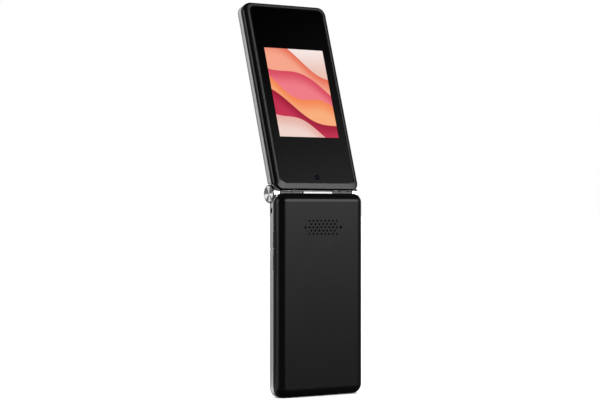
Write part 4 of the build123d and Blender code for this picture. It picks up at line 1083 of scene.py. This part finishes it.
@dataclass(frozen=True)
class Card:
    """A soft wedge of light. On the floor it is painted into the colour that only reflections see. Azimuths
    are degrees from +X towards +Y.
    """

    azimuth: float
    half_width: float
    softness: float
    light: float

    def facing(self, east: Wire, north: Wire, level: Wire) -> Wire:
        """Return how far a level direction points at the card.

        Args:
            east: The direction's part along +X.
            north: Its part along +Y.
            level: Its length.

        Returns:
            The share, from 0 beside the card to 1 at its middle.
        """
        turn = math.radians(self.azimuth)
        toward = (east * math.cos(turn) + north * math.sin(turn)) / level
        outer = math.cos(math.radians(self.half_width + self.softness))
        inner = math.cos(math.radians(self.half_width - self.softness))
        return toward.step(outer, inner)


@dataclass(frozen=True)
class Panel(Card):
    """A soft pale panel that hangs in the surroundings.

    Its bottom and top are pairs of heights, as the sine of the elevation, over which its light fades in
    and out.
    """

    bottom: Span = (-0.06, 0.02)
    top: Span = (0.58, 0.30)


@dataclass
class Studio:
    """The floor, the lights, the pale surroundings and the camera.

    The camera's azimuth is in degrees from -Y towards +X, and the floor's noise is in grains to a
    millimetre. Whatever the camera sees straight stays pale: only what shines mirrors the panels and cards.
    """

    target: Vector = Vector((7.09 * MM, -2.55 * MM, 100.17 * MM))
    distance: float = 901.0 * MM
    azimuth: float = 145.8
    elevation: float = -0.33
    focal_px: float = 1754.7
    frame_px: float = 600.0
    sensor: float = 36.0
    clip: Span = (0.01, 100.0)
    floor_size: float = 40.0
    floor_pale: Colour = (0.94, 0.94, 0.94)
    floor_paler: Colour = (0.97, 0.97, 0.97)
    floor_per_mm: float = 0.002
    floor_roughness: float = 0.9
    floor_bounce: Colour = (0.05, 0.05, 0.05)
    backdrop: Colour = (1.0, 1.0, 1.0)
    room: float = 0.012
    panels: tuple[Panel, ...] = (
        Panel(azimuth=236.0, half_width=62.0, softness=12.0, light=0.8, bottom=(-0.25, -0.12)),
        Panel(azimuth=310.0, half_width=14.0, softness=8.0, light=0.22, bottom=(-0.25, -0.12)),
        Panel(azimuth=338.0, half_width=15.0, softness=5.0, light=4.2, bottom=(-0.25, -0.12)),
        Panel(azimuth=112.0, half_width=19.0, softness=13.0, light=4.6),
        Panel(
            azimuth=112.0, half_width=19.0, softness=13.0, light=9.2, bottom=(0.20, 0.38), top=(0.47, 0.36)),
    )
    floor_cards: tuple[Card, ...] = (
        Card(azimuth=306.0, half_width=12.0, softness=6.0, light=0.07),
        Card(azimuth=338.0, half_width=15.0, softness=5.0, light=0.5),
        Card(azimuth=236.0, half_width=46.0, softness=12.0, light=0.28),
    )
    overhead_power: float = 5.5
    overhead_spread: float = 100.0

    def camera(self) -> None:
        """Place the camera."""
        data = bpy.data.cameras.new("camera")
        data.sensor_width = self.sensor
        data.lens = self.focal_px / self.frame_px * data.sensor_width
        data.clip_start, data.clip_end = self.clip
        made = bpy.data.objects.new("camera", data)
        bpy.context.scene.collection.objects.link(made)
        around, up = math.radians(self.azimuth), math.radians(self.elevation)
        out = Vector((math.sin(around) * math.cos(up), -math.cos(around) * math.cos(up), math.sin(up)))
        made.location = self.target + out * self.distance
        made.rotation_mode = "QUATERNION"
        made.rotation_quaternion = (-out).to_track_quat("-Z", "Y")
        bpy.context.scene.camera = made

    def surroundings(self) -> None:
        """Hang the panels round the phone. What lies behind it stays white."""
        world = bpy.data.worlds.new("studio")
        bpy.context.scene.world = world
        world.use_nodes = True
        graph = Graph(world.node_tree)
        direction = graph.node("ShaderNodeTexCoord", {}, {}, "Generated")
        east, north, rise = (
            graph.node("ShaderNodeSeparateXYZ", {}, {"Vector": direction}, part) for part in "XYZ")
        level = level_length(east, north)
        light: Any = self.room
        for panel in self.panels:
            share = panel.facing(east, north, level) * rise.step(*panel.bottom) * rise.step(*panel.top)
            light = light + share * panel.light
        grey = graph.node("ShaderNodeCombineXYZ", {}, {0: light, 1: light, 2: light})
        seen = graph.mix(graph.camera_ray(), grey, self.backdrop)
        background = graph.node("ShaderNodeBackground", {}, {"Color": seen, "Strength": 1.0})
        graph.node("ShaderNodeOutputWorld", {}, {"Surface": background}, None)

    def overhead(self) -> None:
        """Hang the wide soft light straight above. It shows in nothing that shines."""
        data = bpy.data.lights.new("overhead", "SUN")
        data.energy = self.overhead_power
        data.angle = math.radians(self.overhead_spread)
        made = bpy.data.objects.new("overhead", data)
        made.visible_glossy = False
        bpy.context.scene.collection.objects.link(made)

    def floor_finish(self) -> bpy.types.Material:
        """Build the floor's material.

        Returns:
            A material that is pale to the camera, and in what shines dark with painted wedges of light.
        """
        graph = Surface("pale_floor")
        cloud = graph.noise(self.floor_per_mm, SOFT_DETAIL)
        pale = graph.mix(cloud, self.floor_pale, self.floor_paler)
        east, north = (graph.along(axis, ORIGIN, graph.place()) for axis in (ACROSS, BACK))
        level = level_length(east, north)
        # Painted shade and light: in reflections the floor is dark, with wedges of light painted on it.
        bounce: Any = self.floor_bounce
        for card in self.floor_cards:
            bounce = graph.mix(card.facing(east, north, level), bounce, (card.light,) * 3)
        colour = graph.mix(graph.camera_ray(), bounce, pale)
        return graph.finish(Base_Color=colour, Roughness=self.floor_roughness)

    def floor(self) -> None:
        """Lay the pale floor."""
        half = self.floor_size / 2
        corners = ((-half, -half, 0), (half, -half, 0), (half, half, 0), (-half, half, 0))
        shape = bmesh.new()
        shape.faces.new([shape.verts.new(corner) for corner in corners])
        mesh = bpy.data.meshes.new("floor")
        shape.to_mesh(mesh)
        shape.free()
        mesh.materials.append(self.floor_finish())
        made = bpy.data.objects.new("floor", mesh)
        bpy.context.scene.collection.objects.link(made)

    def build(self) -> None:
        """Set up the studio."""
        self.camera()
        self.surroundings()
        self.overhead()
        self.floor()
        bpy.context.scene.view_settings.view_transform = "Standard"


def main() -> None:
    """Build every sub-assembly in order and log each one."""
    logging.basicConfig(level=logging.INFO, format="%(name)s: %(message)s")
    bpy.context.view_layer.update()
    for assembly in (Casing(), Hinge(), Displays(), Keypad(), Internals(), Studio()):
        LOG.info("building %s", type(assembly).__name__)
        assembly.build()


if __name__ == "__main__":
    main()
